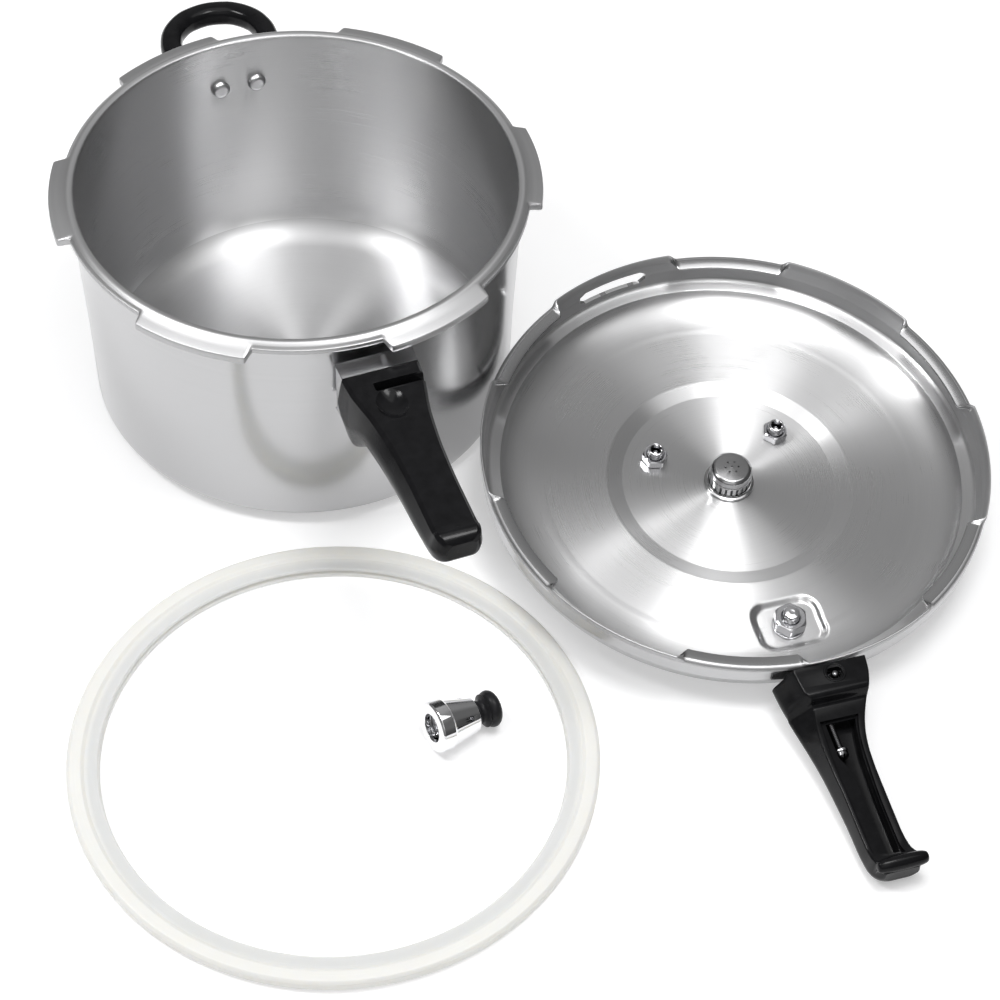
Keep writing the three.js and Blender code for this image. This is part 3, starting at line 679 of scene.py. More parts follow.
def make_pot_handle():
    places = [mix(POT_ROOT, POT_END_FROM, k / 64) for k in range(65)]
    places += [POT_END_FROM + POT_END_LENGTH * math.sin(math.radians(a)) for a in range(10, 91, 10)]
    grip = loft("pot_grip", [pot_handle_loop(u) for u in places], sharp=40)
    slot = block("slot", (146.8, 152.8), (-7, 30), (127.5, 142), radius=1.2)
    dimple = turn("dimple", [(0, -14), *arc(0, 0, 14, 14, -80, 80, 40), (0, 14)], azimuths(4))
    moved(dimple, offset(163.5, -2, POT_TOP + 11.2) @ Matrix.Diagonal((1.3, 0.98, 1, 1)))
    bore = moved(rod("bore", 5.6, 20, 62), offset(138, 0, POT_BOLT_HEIGHT) @ ALONG_X)
    combine(grip, [slot, dimple, bore])
    soften(grip, 0.45, angle=38)
    finished(grip, POT_HANDLE, "pot", "black_phenolic", BLACK, "pot_handle_grip")


make_pot_handle()


def make_pot_bracket():
    corners = [(-23, 101, 5), (23, 101, 5), (23, 138, 3.5), (-23, 138, 3.5)]
    loop = rounded(corners, closed=True, steps=6)
    bracket = loft("pot_bracket", [[(u, v, w) for v, w in loop] for u in (112, 138)])
    wall = rod("wall", 124.3, 80, 160, 2.5)
    pocket = block("pocket", (127.5, 150), (-20.8, 20.8), (103.2, 135.8))
    combine(bracket, [wall, pocket])
    soften(bracket, 0.5)
    finished(bracket, POT_HANDLE, "pot", "bright_steel", STEEL, "pot_handle_bracket")


make_pot_bracket()


SCREW_SLOT = 1.0


def screw(name, shank, head, low, seat, top, pitch=0.8):
    """A slotted pan-head screw along Z, threaded from low to near its seat."""

    def profile(azimuth):
        points = [(0, low), (shank - 0.5, low)]
        steps = round((seat - low - 1.5) / (pitch / 4))
        for k in range(steps):
            z = low + 0.5 + k * pitch / 4
            wave = abs(((z / pitch) + azimuth / 360) % 1 - 0.5) * 2
            points.append((shank - 0.45 * (1 - wave), z))
        points += [(shank - 0.2, seat - 0.6), (shank - 0.2, seat)]
        pan = [(head, seat, 0.2), (head, mix(seat, top, 0.6), 0.6), (head * 0.6, top, 0.6), (0, top)]
        return points + rounded(pan)

    body = turn(name, profile, azimuths(7.5))
    across = (-SCREW_SLOT / 2, SCREW_SLOT / 2)
    cutter = block("slot", (-head * 2, head * 2), across, (mix(seat, top, 0.45), top + 2))
    return combine(body, [cutter])


def make_pot_bolt():
    group = shifted(POT_HANDLE, 0, 0, POT_BOLT_HEIGHT)
    bolt = moved(screw("pot_bolt", 2.5, 4.6, 125.2, 158.4, 161.8), ALONG_X)
    finished(bolt, group, "pot", "bright_steel", ZINC, "pot_handle_bolt")
    ring = moved(washer("pot_washer", 2.8, 5.2, 157.4, 158.3), ALONG_X)
    finished(ring, group, "pot", "bright_steel", ZINC, "pot_handle_washer")


make_pot_bolt()

# ---------- helper handle ----------

HELPER_ROUTE = [
    (128.4, 26), (133, 26.4), (140, 27.2), (150, 28.2), (160, 28.4), (170, 26.3), (178.6, 20.6),
    (184.8, 11.5), (187, 0),
]
HELPER_HALF, HELPER_TAPER = 6.5, 0.7
HELPER_STEPS, HELPER_SIDES = 96, 24
HELPER_SQUARENESS = 0.85
HELPER_SCREW_SPREAD = 26


def squared(x):
    """A sine or cosine drawn out towards the corners, for a section between round and square."""
    return math.copysign(abs(x) ** HELPER_SQUARENESS, x)


def make_helper_loop():
    places = HELPER_ROUTE + [(u, -v) for u, v in reversed(HELPER_ROUTE[:-1])]
    lengths = [0]
    for a, b in zip(places, places[1:]):
        lengths.append(lengths[-1] + math.dist(a, b))
    xs = list(zip(lengths, [p[0] for p in places]))
    ys = list(zip(lengths, [p[1] for p in places]))
    loops = []
    for k in range(HELPER_STEPS + 1):
        s = lengths[-1] * k / HELPER_STEPS
        here = Vector((smooth(xs, s), smooth(ys, s)))
        ahead = Vector((smooth(xs, s + 0.5), smooth(ys, s + 0.5)))
        behind = Vector((smooth(xs, s - 0.5), smooth(ys, s - 0.5)))
        way = (ahead - behind).normalized()
        side = Vector((way.y, -way.x))
        edge = min(s, lengths[-1] - s)
        half = HELPER_HALF - HELPER_TAPER * (1 - ease(0, 3, edge))
        loop = []
        for j in range(HELPER_SIDES):
            angle = 2 * math.pi * j / HELPER_SIDES
            out = half * squared(math.cos(angle))
            up = half * squared(math.sin(angle))
            loop.append((here.x + side.x * out, here.y + side.y * out, up))
        loops.append(loop)
    grip = loft("helper_loop", loops, sharp=45)
    group = shifted(HELPER, 0, 0, HELPER_HEIGHT)
    finished(grip, group, "pot", "black_phenolic", BLACK, "helper_handle_loop")


make_helper_loop()


def refined(node, body, slot, material, width):
    """A CAD node's own shape with its sharp edges rounded, in place of the node."""
    obj = frame["nodes"][node].copy()
    obj.data = frame["nodes"][node].data.copy()
    obj.parent = None
    obj.name = f"{node}_fine"
    bpy.context.scene.collection.objects.link(obj)
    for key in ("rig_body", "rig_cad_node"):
        if key in obj:
            del obj[key]
    weld = obj.modifiers.new("weld", "WELD")
    weld.merge_threshold = 1e-6
    flat = obj.modifiers.new("flat", "DECIMATE")
    flat.decimate_type = "DISSOLVE"
    flat.angle_limit = math.radians(0.5)
    bake(obj)
    soften(obj, width)
    finished(obj, Matrix.Identity(4), body, slot, material, node)


refined("helper_handle_bracket", "pot", "bright_steel", STEEL, 0.3)


def make_helper_screws():
    for word, side in (("left", 1), ("right", -1)):
        piece = screw(f"helper_screw_{word}_fine", 1.8, 3.2, -143, -123.4, -121.6)
        moved(piece, turn_by(-90, "Y"))
        group = shifted(HELPER, 0, side * HELPER_SCREW_SPREAD, HELPER_HEIGHT)
        finished(piece, group, "pot", "bright_steel", ZINC, f"helper_screw_{word}")


make_helper_screws()

# ---------- lid ----------

LIP_FIRST, LIP_HALF, LIP_RAMP = -17.2, 13.5, 1.1
PAD_U, PAD_V = 98, 1
PAD_LENGTH, PAD_WIDTH, PAD_CORNER = 30, 38, 9
CROWN, LID_WALL = -31, 2
BOWL_RADIUS, BOWL_HEIGHT = 107, -19.4
BOWL_FINE_FROM, BOWL_FINE_TO = 76, 120
WINDOW_FROM, WINDOW_TO = 183, 201
VALVE_U, VALVE_V = -25, 36


def pad_distance(x, y, grow):
    """How far a point lies outside the handle pad, in millimetres; negative is inside."""
    half_x, half_y = PAD_LENGTH / 2 + grow, PAD_WIDTH / 2 + grow
    dx = abs(x - PAD_U) - (half_x - PAD_CORNER)
    dy = abs(y - PAD_V) - (half_y - PAD_CORNER)
    outside = math.hypot(max(dx, 0), max(dy, 0))
    return outside + min(max(dx, dy), 0) - PAD_CORNER


def lid_spacing(radius):
    """The longest stretch of the lid's profile, short where the handle pad presses it."""
    return 0.85 if BOWL_FINE_FROM < radius < BOWL_FINE_TO else 8


def lid_profile(azimuth):
    """The lid's section: its inside from the middle out, then the rim, then its outside back."""
    lip = 1 - ease(LIP_HALF - LIP_RAMP, LIP_HALF + LIP_RAMP, sixfold(azimuth, LIP_FIRST))
    floor = rounded([(0, CROWN), (60.2, CROWN, 2.2), (69.2, CROWN + 2.3, 3.5), (104, -28.4)])
    seat = [(128.95, -19.9), (129.3, -19.1, 0.5), (131.5, -19, 1.2), (136.6, -18.8, 4)]
    shelf = rounded([*seat, (138.9, -11, 4), (139, -3.7)])
    inside = floor + arc(BOWL_RADIUS, BOWL_HEIGHT, 22, 8.8, -90, -4, 14) + shelf
    closed = [(138.6, -3.5), (136, -3.45), (133.2, -3.4), (132.5, -3.2), (132.25, -2.7), (132.5, -2.2)]
    closed += [(133.2, -1.95), (136, -1.6), (138.4, -1.25), (139.6, -1.4), (140.5, -2.1), (141.0, -3.4)]
    opened = [(139.0, -3.4), (139.05, -2.9), (139.15, -2.3), (139.35, -1.6), (139.6, -0.8), (139.9, 0)]
    opened += [(140.25, 0.6), (140.7, 0.95), (141.2, 0.9), (141.5, 0.5), (141.4, -0.8), (141.1, -3.2)]
    rim = [(mix(b[0], a[0], lip), mix(b[1], a[1], lip)) for a, b in zip(closed, opened)]
    outside = rounded([(141, -5), (140.9, -12, 5), (138.2, -21, 5), (131.2, -21.2)])
    outside += arc(BOWL_RADIUS, BOWL_HEIGHT, 24, 10.8, -11, -90, 14)
    outside += rounded([(104, -30.4), (69.8, CROWN + 0.4, 3.5), (60.8, CROWN - 2, 2.2), (0, CROWN - 2)])
    points = dense(inside + rim + outside, lid_spacing)
    half = len(dense(inside, lid_spacing))
    c, s = math.cos(math.radians(azimuth)), math.sin(math.radians(azimuth))
    if abs(azimuth - 180) < 150:
        return points
    pressed = []
    for i, (r, z) in enumerate(points):
        inner = i < half
        depth = pad_distance(r * c, r * s, 0 if inner else LID_WALL)
        share = 1 - ease(-3.0, 1.2, depth)
        pressed.append((r, mix(z, CROWN - (0 if inner else LID_WALL), share)))
    return pressed


def lid_zone(radius, height, outward, up):
    """Which finish a face of the lid has. Its lips take the outside's metal, darker than the inside's:
    painted shade.
    """
    # The lips: the outside's darker metal here is painted shade.
    if height > -3.75 and radius < 138.5:
        return OUTSIDE
    if height > -3.75 or (radius > 137 and outward < -0.5):
        return RIM
    inside = up > 0.1 or outward < -0.3
    return INSIDE if inside and radius < 139 else OUTSIDE


def window_cutter():
    """The slot through the lid's skirt, with rounded ends."""
    loops = []
    for k in range(13):
        azimuth = math.radians(mix(WINDOW_FROM, WINDOW_TO, k / 12))
        shrink = 2.2 * ease(0.86, 1.0, abs(k / 6 - 1))
        c, s = math.cos(azimuth), math.sin(azimuth)
        low, high = -15 + shrink, -7 - shrink
        loops.append([(r * c, r * s, z) for r, z in ((133, low), (150, low), (150, high), (133, high))])
    return loft("window", loops)


def make_lid():
    ends = ends_of_six(LIP_FIRST, LIP_HALF, 1.6, 0.32)
    places = azimuths(1.5, [*ends, (0, 14, 0.45)])
    lid = turn("lid", lid_profile, places, sharp=40)
    cutters = [window_cutter()]
    holes = ((0, 0, 4.6), (PAD_U, PAD_V, 4.9), (VALVE_U, VALVE_V, 4.9), (VALVE_U, -VALVE_V, 4.9))
    for u, v, radius in holes:
        cutters.append(moved(rod("hole", radius, -60, 0), offset(u, v)))
    combine(lid, [merged("cutters", cutters)], sharp=40)
    paint(lid, [BRUSHED, POLISHED, SATIN], lid_zone)
    finished(lid, LID, "lid", "brushed_aluminium", None, "lid_shell")


make_lid()

# ---------- lid fittings ----------


def nut(name, flats, bore, z0, z1):
    """A hexagon nut with chamfered corners."""

    def profile(azimuth):
        away = (azimuth + 30) % 60 - 30
        edge = flats / 2 / math.cos(math.radians(away))
        round_edge = min(edge, flats / 2 * 1.13)
        drop = max(0, round_edge - flats / 2 * 0.97) * 0.55
        points = [(bore, z0), (round_edge - 0.15, z0), (round_edge, z0 + 0.25)]
        points += [(round_edge, z1 - drop - 0.15), (round_edge - 0.12, z1 - drop)]
        points += [(flats / 2 * 0.95, z1), (bore + 0.7, z1), (bore, z1 - 0.7)]
        return points

    return turn(name, profile, azimuths(3), sharp=25)


def threaded(radius, low, high, pitch, depth=0.55):
    """A function that gives a thread's points at an azimuth."""
    steps = round((high - low) / (pitch / 6))

    def points(azimuth):
        result = []
        for k in range(steps + 1):
            z = mix(low, high, k / steps)
            wave = abs((z / pitch + azimuth / 360) % 1 - 0.5) * 2
            fade = clamp(min(k, steps - k) / 3)
            result.append((radius - depth * fade * clamp(1.25 * (1 - wave)), z))
        return result

    return points


def make_handle_bolt():
    group = shifted(LID, PAD_U, PAD_V)
    thread = threaded(4.6, -29.5, -19.0, 1.25)
    head = [(0, -37.1), (5, -37.1, 1), (7.4, -36.4, 0.5), (7.4, -35.6, 0.3), (4.6, -35.6), (4.6, -30)]
    tip = [(4.55, -18.8), (3.9, -17.9, 0.6), (1.6, -17.5, 0.5), (0, -17.7)]
    low, high = rounded(head), rounded(tip)
    bolt = turn("handle_bolt", lambda azimuth: low + thread(azimuth) + high, azimuths(6))
    finished(bolt, group, "lid", "bright_steel", ZINC, "lid_handle_bolt")
    ring = washer("handle_washer", 4.9, 9.2, -30.7, -29.6, far=0.4, spacing=5)
    finished(ring, group, "lid", "bright_steel", ZINC, "lid_handle_washer")
    hexagon = nut("handle_nut", 16.5, 4.85, -29.3, -22.2)
    finished(hexagon, group @ turn_by(14, "Z"), "lid", "bright_steel", ZINC, "lid_handle_nut")


make_handle_bolt()


def make_relief_valve(word, side):
    group = shifted(LID, VALVE_U, side * VALVE_V)
    thread = threaded(4.5, -25.6, -22.6, 1.0, 0.4)
    head = [(2.2, -43), (6.5, -43, 0.5), (8, -41.5, 0.5), (8, -34.8, 0.4), (4.5, -34.8), (4.5, -26)]
    rim = [(4.45, -22.3), (4.3, -21.5, 0.4), (3.5, -21.2, 0.3), (3.0, -21.7), (2.9, -25), (2.5, -32.6)]
    low, high = rounded(head), rounded(rim) + [(3.8, -33.4), (3.8, -41.6), (2.2, -41.6)]
    body = turn(f"valve_body_{word}", lambda azimuth: low + thread(azimuth) + high, azimuths(6))
    finished(body, group, "lid", "bright_steel", ZINC, f"relief_valve_body_{word}")
    hexagon = nut(f"valve_nut_{word}", 13, 4.75, -30.7, -25.8)
    turned = group @ turn_by(12 * side, "Z")
    finished(hexagon, turned, "lid", "bright_steel", ZINC, f"relief_valve_nut_{word}")
    seal = washer(f"valve_seal_{word}", 4.9, 8.2, -34.5, -33.3, near=0.3, far=0.5, spacing=5)
    finished(seal, group, "lid", "black_rubber", SEAL, f"relief_valve_seal_{word}")
    foot = [(0, -40.2), (1.7, -40.2, 0.2), (1.7, -35.6)]
    collar = [(3.3, -35.6, 0.2), (3.3, -34.6, 0.3), (1.9, -34)]
    stem = [(1.9, -26.2), *arc(0, -25.9, 1.9, 1.7, 5, 85, 6), (0, -24.2)]
    pin = turn(f"valve_pin_{word}", rounded(foot + collar) + stem, azimuths(7.5))
    finished(pin, group, f"relief_pin_{word}", "chrome_plate", CHROME, f"relief_valve_pin_{word}")


make_relief_valve("left", 1)
make_relief_valve("right", -1)

STRAINER_SLOTS, STRAINER_HOLES = 24, 7


def make_strainer():
    flange = [(14, -30.6, 0.2), (14, -29.4, 0.4), (12.6, -29.0, 0.6), (12.05, -28.4, 0.4)]
    wall = [(12.0, -21.6, 0.5), (11.6, -21.2, 0.4), (11.8, -20.6, 0.4)]
    profile = rounded([*flange, *wall, (11.5, -18.2, 1.8), (9.6, -16.8, 2.4), (0, -16.2)])
    inner = rounded([(0, -17.1), (9.0, -17.7, 2), (10.9, -20.4, 1.5), (11.2, -30.6)])
    cap = turn("strainer", profile + inner, azimuths(2.5))
    cutters = []
    for i in range(STRAINER_SLOTS):
        slot = block("slot", (10, 15), (-0.62, 0.62), (-28.0, -22.4))
        cutters.append(moved(slot, turn_by(360 / STRAINER_SLOTS * i, "Z")))
    for i in range(STRAINER_HOLES):
        middle = i == STRAINER_HOLES - 1
        hole = moved(rod("hole", 0.55, -25, -10, 20), offset(0 if middle else 3.7))
        cutters.append(moved(hole, turn_by(60 * i + 20, "Z")))
    combine(cap, [merged("cutters", cutters)])
    finished(cap, LID, "strainer", "chrome_plate", STRAINER, "strainer_cap")


make_strainer()


def make_vent_pipe():
    thread = threaded(4.15, -33.1, -23.4, 1.0, 0.4)
    spout = [(1.5, -47.5), (3.5, -47.5, 0.4), (4.1, -46.6, 0.5), (4.1, -37.5, 0.4), (8, -36.6, 0.5)]
    low = rounded(spout) + rounded([(8, -36), (8, -33.3, 0.3), (4.2, -33.3)])
    high = [(4.0, -22.6), (3.4, -21.8), (1.5, -21.8)]
    pipe = turn("vent_pipe_fine", lambda azimuth: low + thread(azimuth) + high, azimuths(6))
    finished(pipe, LID, "lid", "bright_steel", ZINC, "vent_pipe")
    hexagon = nut("vent_nut", 14, 4.5, -30.7, -25.8)
    finished(hexagon, LID, "lid", "bright_steel", ZINC, "vent_pipe_nut")


make_vent_pipe()
refined("lid_handle_strap", "lid", "bright_steel", STEEL, 0.4)

# ---------- lid handle ----------

LID_ROOT = 142.4
LID_LEFT = [
    (142, -17.2), (150, -16.4), (157, -15.4), (160.5, -13.2), (163, -12.0), (168, -12.9), (175, -14.4),
    (184, -15.2), (199, -15.0), (216, -14.2), (236, -14.1), (250, -13.6), (263, -12.6),
]
LID_RIGHT = [
    (142, 23.2), (150, 22.2), (158, 19.8), (164, 17.2), (170, 14.4), (176, 12.0), (184, 9.7),
    (194, 8.2), (207, 7.6), (239, 7.5), (250, 8.6), (255, 10.4), (263, 12),
]
LID_BELLY = [
    (142, -27.2), (152, -26.4), (168, -23.6), (184, -20.7), (199, -18.6), (215, -17.3), (230, -16.4),
    (244, -16.1), (254, -15.2), (263, -14.0),
]
LID_FACE = [
    (142, 0.5), (157.6, 0.5), (159.6, -0.1), (160.8, -1.8), (161.8, -5.6), (163.5, -6.8),
    (168, -7.0), (176, -6.8), (246, -6.7), (252, -5.8), (256, -3.6), (263, -3.4),
]
LID_OUTER = [(142, -23.5), (160, -23.6), (200, -23.2), (250, -21.6), (256, -21.3), (263, -20.5)]
SCREW_V, SCREW_W = -5, -12.4
PIN_U, PIN_V = 149.2, 3.8
END_FROM, END_LENGTH = 253, 9.5
BAR_U, BAR_V, BAR_W = 258.4, 0.8, -5.2
BAR_REACH, BAR_HALF_U, BAR_HALF_W, BAR_SIDES = 13.7, 4.1, 4.7, 24
WIDE_LEFT = [(171, -12), (175, -12.3), (198, -13.4), (222, -12.9), (248, -12.4), (253.5, -11)]
WIDE_RIGHT = [(171, 10.5), (175, 9), (185, 6.6), (199, 5.2), (227, 3.9), (248, 4), (253.5, 5)]
WIDE_FROM, WIDE_TO, WIDE_FLOOR = 171.3, 253.3, -9
DEEP_LEFT = [(172, -8.9), (192, -8.9), (197, -7), (204, -5.2), (230, -4.4), (251, -4)]
DEEP_RIGHT = [(172, 8.6), (180, 6.6), (199, 4.2), (227, 3.2), (251, 3.2)]
DEEP_FROM, DEEP_TO, DEEP_FLOOR = 172.6, 251, -16.6


def lid_handle_loop(u):
    """The grip's section at a distance from the lid's axis: u outwards, v across and w up."""
    end = end_share(u, END_FROM, END_LENGTH + 0.05)
    high = smooth(LID_FACE, u) - 3 * end
    low = smooth(LID_OUTER, u) + 6 * end
    left = smooth(LID_LEFT, u) + 4 * end
    right = smooth(LID_RIGHT, u) - 4 * end
    belly = smooth(LID_BELLY, u) + 5 * end
    knee = mix(low, high, 0.3)
    corners = [
        (left, high, 1.5), (right, high, 1.5), (right + 1, knee, 8), (right - 3, low, 5),
        (belly + 4.5, low, 5), (belly, knee, 6),
    ]
    return [(u, v, w) for v, w in rounded(corners, closed=True, steps=6)]


def tip_bar():
    """The bar across the grip's tip, with rounded ends."""
    loops = []
    for k in range(BAR_SIDES + 1):
        angle = math.pi * k / BAR_SIDES
        v = BAR_V - BAR_REACH * math.cos(angle)
        size = math.sin(angle) ** 0.36 if 0 < k < BAR_SIDES else 0.04
        half_u, half_w = BAR_HALF_U * size, BAR_HALF_W * size
        turns = [2 * math.pi * j / BAR_SIDES for j in range(BAR_SIDES)]
        loops.append([(BAR_U + half_u * math.cos(t), v, BAR_W + half_w * math.sin(t)) for t in turns])
    return loft("bar", loops)


def channel(left_side, right_side, low, first, last):
    """A cutter for one level of the channel along the grip's face."""
    loops = []
    for k in range(41):
        u = mix(first, last, k / 40)
        left, right = smooth(left_side, u), smooth(right_side, u)
        corners = [(left, 12, 1), (right, 12, 1), (right - 0.5, low, 1.5), (left + 0.5, low, 1.5)]
        loops.append([(u, v, w) for v, w in rounded(corners, closed=True)])
    return loft("channel", loops)


def make_lid_handle():
    places = [mix(LID_ROOT, 156, k / 6) for k in range(6)]
    places += [mix(156, 180, k / 36) for k in range(36)]
    places += [mix(180, END_FROM, k / 32) for k in range(33)]
    places += [END_FROM + END_LENGTH * math.sin(math.radians(a)) for a in range(9, 91, 9)]
    grip = loft("lid_grip", [lid_handle_loop(u) for u in places], sharp=40)
    combine(grip, [tip_bar()], "UNION")
    cutters = [
        channel(WIDE_LEFT, WIDE_RIGHT, WIDE_FLOOR, WIDE_FROM, WIDE_TO),
        channel(DEEP_LEFT, DEEP_RIGHT, DEEP_FLOOR, DEEP_FROM, DEEP_TO),
    ]
    ring = rounded([(4.6, 0.2), (4.8, 1.0, 0.3), (5.8, 1.0, 0.3), (6.2, 0.2)], steps=3)
    collar = turn("collar", ring + [(6.2, -2), (4.6, -2)], azimuths(7.5))
    combine(grip, [moved(collar, offset(PIN_U - 0.6, PIN_V))], "UNION")
    cutters.append(moved(rod("screw_hole", 2.3, 140, 180), offset(0, SCREW_V, SCREW_W) @ ALONG_X))
    cutters.append(rod("skirt", 142, -60, 20, 2.5))
    cutters.append(block("tab", (140, 145.2), (PAD_V - 12.4, PAD_V + 12.4), (-40, -5.4)))
    pin_u, pin_v = (PIN_U - 3.6, PIN_U + 3.0), (PIN_V - 4.2, PIN_V + 4.2)
    cutters.append(block("pin_hole", pin_u, pin_v, (-40, 20), 2.6))
    combine(grip, cutters)
    soften(grip, 0.55, segments=3, angle=40)
    finished(grip, LID, "lid", "black_phenolic", BLACK, "lid_handle_grip")


make_lid_handle()


def make_lid_handle_fittings():
    group = shifted(LID, 0, SCREW_V, SCREW_W)
    long_screw = moved(screw("long_screw", 2, 3.4, 142.4, 189.2, 192.4, pitch=1.0), ALONG_X)
    finished(long_screw, group, "lid", "bright_steel", STEEL_PAINTED_DARK, "handle_long_screw")
    ring = moved(washer("screw_washer", 2.3, 3.8, 187.4, 188.9), ALONG_X)
    finished(ring, group, "lid", "bright_steel", ZINC, "handle_screw_washer")
    foot = [(0, -23.2), (2.2, -23.2, 0.3), (2.2, -17)]
    collar = [(3.6, -17, 0.2), (3.6, -15.4, 0.2), (2.2, -15.4)]
    nose = [(2.2, -0.2, 0.8), (1.5, 0.8, 0.8), (0, 1.3)]
    pin = turn("lock_pin_fine", rounded(foot + collar + nose), azimuths(7.5))
    # The lock pin's steel is coloured dark: painted dark reflection.
    finished(pin, shifted(LID, PIN_U, PIN_V), "lock_pin", "bright_steel", STEEL_PAINTED_DARK, "lock_pin")


make_lid_handle_fittings()

# ---------- gasket ----------


def make_gasket():
    corners = [
        (121, 0, 0.8), (136.2, 0, 1.2), (138, 1.6, 1), (138, 5.9, 1), (136.3, 7.5, 1.2),
        (130.6, 7.5, 0.8), (129.6, 6.7, 0.8), (128.8, 6.2, 0.6), (122.2, 6.2, 0.6),
        (121, 4.7, 0.6), (127.5, 4.4, 0.4), (127.5, 3.2, 0.4), (121, 2.8, 0.6),
    ]
    ring = turn("gasket", rounded(corners, closed=True), azimuths(1.5))
    finished(ring, GASKET, "gasket", "clear_silicone", CLEAR, "sealing_gasket")


make_gasket()

# ---------- regulator weight ----------


def make_weight():
    outer = [
        (7.7, 0, 0.3), (13.0, 0, 0.8), (13.8, 1.0, 0.5), (13.8, 7.2, 0.5), (13.1, 8.2, 0.5),
        (9.25, 24.4, 0.4), (8.5, 25.4, 0.5), (3.3, 25.4, 0.2),
    ]
    inner = [(3.3, 13, 0.3), (7.6, 12.4, 0.4), (7.6, 5.6), (8.4, 5.5), (8.4, 3.9), (7.6, 3.8)]
    body = turn("weight", rounded(outer + inner, closed=True), azimuths(2.5))
    cutters = []
    for azimuth in (45, 135, 225, 315):
        outwards = turn_by(azimuth, "Z") @ offset(0, 0, 19) @ ALONG_X
        cutters.append(moved(rod("hole", 1.45, 2.5, 20, 15), outwards))
    combine(body, [merged("cutters", cutters)])
    soften(body, 0.2)
    finished(body, WEIGHT, "regulator_weight", "chrome_plate", CHROME, "regulator_weight_body")


make_weight()


def make_weight_fittings():
    corners = [(6.5, 4.35, 0.3), (8.0, 4.35, 0.3), (8.0, 5.05, 0.3), (6.5, 5.05, 0.3)]
    wire = rounded(corners, closed=True, steps=3)
    loops = []
    for k in range(49):
        angle = math.radians(mix(14, 346, k / 48))
        loops.append([(r * math.cos(angle), r * math.sin(angle), z) for r, z in wire])
    clip = loft("weight_clip", loops)
    finished(clip, WEIGHT, "regulator_weight", "spring_steel", WIRE, "regulator_weight_clip")
    point = [(0, 9), (1, 10.5, 0.4), (2.4, 11, 0.4), (2.9, 12.6, 0.4)]
    stem = turn("weight_stem", rounded([*point, (2.9, 30, 0.3), (0, 30)]), azimuths(7.5))
    finished(stem, WEIGHT, "regulator_weight", "bright_steel", ZINC, "regulator_weight_stem")
    neck = [(3.2, 25.7), (7.4, 25.7, 0.8), (6.2, 27.8, 1.5), (6.3, 29.4, 1.5), (9.0, 30.8, 1.5)]
    top = [*arc(5.6, 34.8, 4.4, 3.8, -50, 72, 12), (4, 39.3), (0.02, 39.6), (0.02, 30.3), (3.2, 30.3)]
    knob = turn("weight_knob", rounded(neck) + top, azimuths(5))
    finished(knob, WEIGHT, "regulator_weight", "black_phenolic", KNOB, "regulator_weight_knob")


make_weight_fittings()

# ---------- CAD nodes that stay ----------

for node in ("lock_pin_spring", "relief_valve_spring_left", "relief_valve_spring_right"):
    frame["nodes"][node].data.materials.clear()
    frame["nodes"][node].data.materials.append(WIRE)

# ---------- studio ----------

FLOOR_HALF = 6.0


def make_floor():
    vertices = [(x * FLOOR_HALF, y * FLOOR_HALF, 0) for x, y in ((-1, -1), (1, -1), (1, 1), (-1, 1))]
    mesh = bpy.data.meshes.new("floor")
    mesh.from_pydata(vertices, [], [(0, 1, 2, 3)])
    floor = bpy.data.objects.new("floor", mesh)
    bpy.context.scene.collection.objects.link(floor)
    looks = {"Roughness": 0.6, "Base_Color": (0.75, 0.75, 0.755)}
    glow = {"Emission_Color": (1.0, 1.0, 1.0, 1.0), "Emission_Strength": 0.36}
    material = shader("pale_floor", **looks, **glow)[0]
    floor.data.materials.append(material)


make_floor()


WORLD_STRENGTH = 0.8
WORLD_WALLS = [
    (0.0, 0.34), (0.12, 0.28), (0.24, 0.30), (0.36, 0.42), (0.50, 0.50), (0.62, 0.42), (0.74, 0.28),
    (0.86, 0.16), (1.0, 0.16),
]
WORLD_HEIGHTS = [(0.0, 0.45), (0.2, 0.6), (0.45, 1.0), (1.0, 1.0)]


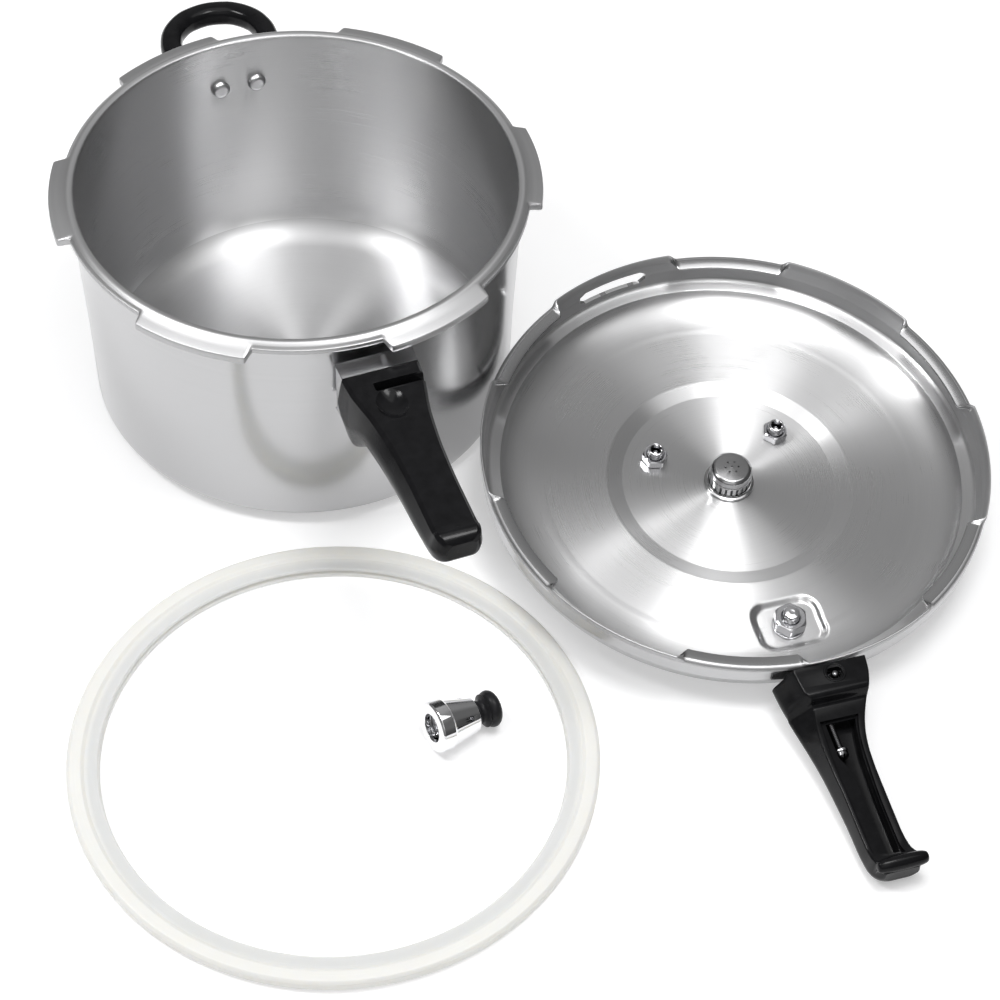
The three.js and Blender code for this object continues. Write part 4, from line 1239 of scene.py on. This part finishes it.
def ramp(tree, value, stops):
    """A grey level that follows (place, level) stops."""
    node = add(tree, "ValToRGB", {"Fac": value})
    elements = node.color_ramp.elements
    node.color_ramp.interpolation = "EASE"
    while len(elements) < len(stops):
        elements.new(0.5)
    for element, (place, level) in zip(elements, sorted(stops)):
        element.position = place
        element.color = (level, level, level, 1)
    return node.outputs["Color"]


def make_world():
    """A dim room that is darkest near the floor and at the sides."""
    world = bpy.data.worlds.new("studio")
    bpy.context.scene.world = world
    world.use_nodes = True
    tree = world.node_tree
    direction = add(tree, "TexCoord").outputs["Generated"]
    parts = add(tree, "SeparateXYZ", {0: direction}).outputs
    inputs = {"Value": parts["X"], "From Min": -1.0, "From Max": 1.0}
    share = add(tree, "MapRange", inputs).outputs["Result"]
    walls = ramp(tree, share, WORLD_WALLS)
    height = ramp(tree, parts["Z"], WORLD_HEIGHTS)
    product = add(tree, "VectorMath", {0: walls, 1: height}, operation="MULTIPLY").outputs[0]
    background = tree.nodes["Background"]
    tree.links.new(product, background.inputs["Color"])
    background.inputs["Strength"].default_value = WORLD_STRENGTH


make_world()


def softbox(name, place, aim, size, radiance):
    """A rectangular light at a place, aimed at a point, with its surface's brightness."""
    data = bpy.data.lights.new(name, "AREA")
    data.shape = "RECTANGLE"
    data.size, data.size_y = size
    data.energy = radiance * math.pi * size[0] * size[1]
    light = bpy.data.objects.new(name, data)
    light.location = place
    light.rotation_euler = (Vector(aim) - light.location).to_track_quat("-Z", "Y").to_euler()
    bpy.context.scene.collection.objects.link(light)


softbox("overhead", (0.3, -0.25, 2.1), (0.12, -0.15, 0), (1.8, 1.8), 1.55)
softbox("right_key", (0.34, -0.2, 1.2), (0.2, -0.15, 0), (0.3, 0.4), 13.0)
softbox("left_key", (-0.68, -0.2, 1.2), (0.0, -0.15, 0), (0.24, 0.4), 26.0)
softbox("front_fill", (0.15, -1.5, 1.3), (0.12, -0.2, 0), (1.6, 0.8), 0.5)

bpy.context.scene.view_settings.view_transform = "Standard"
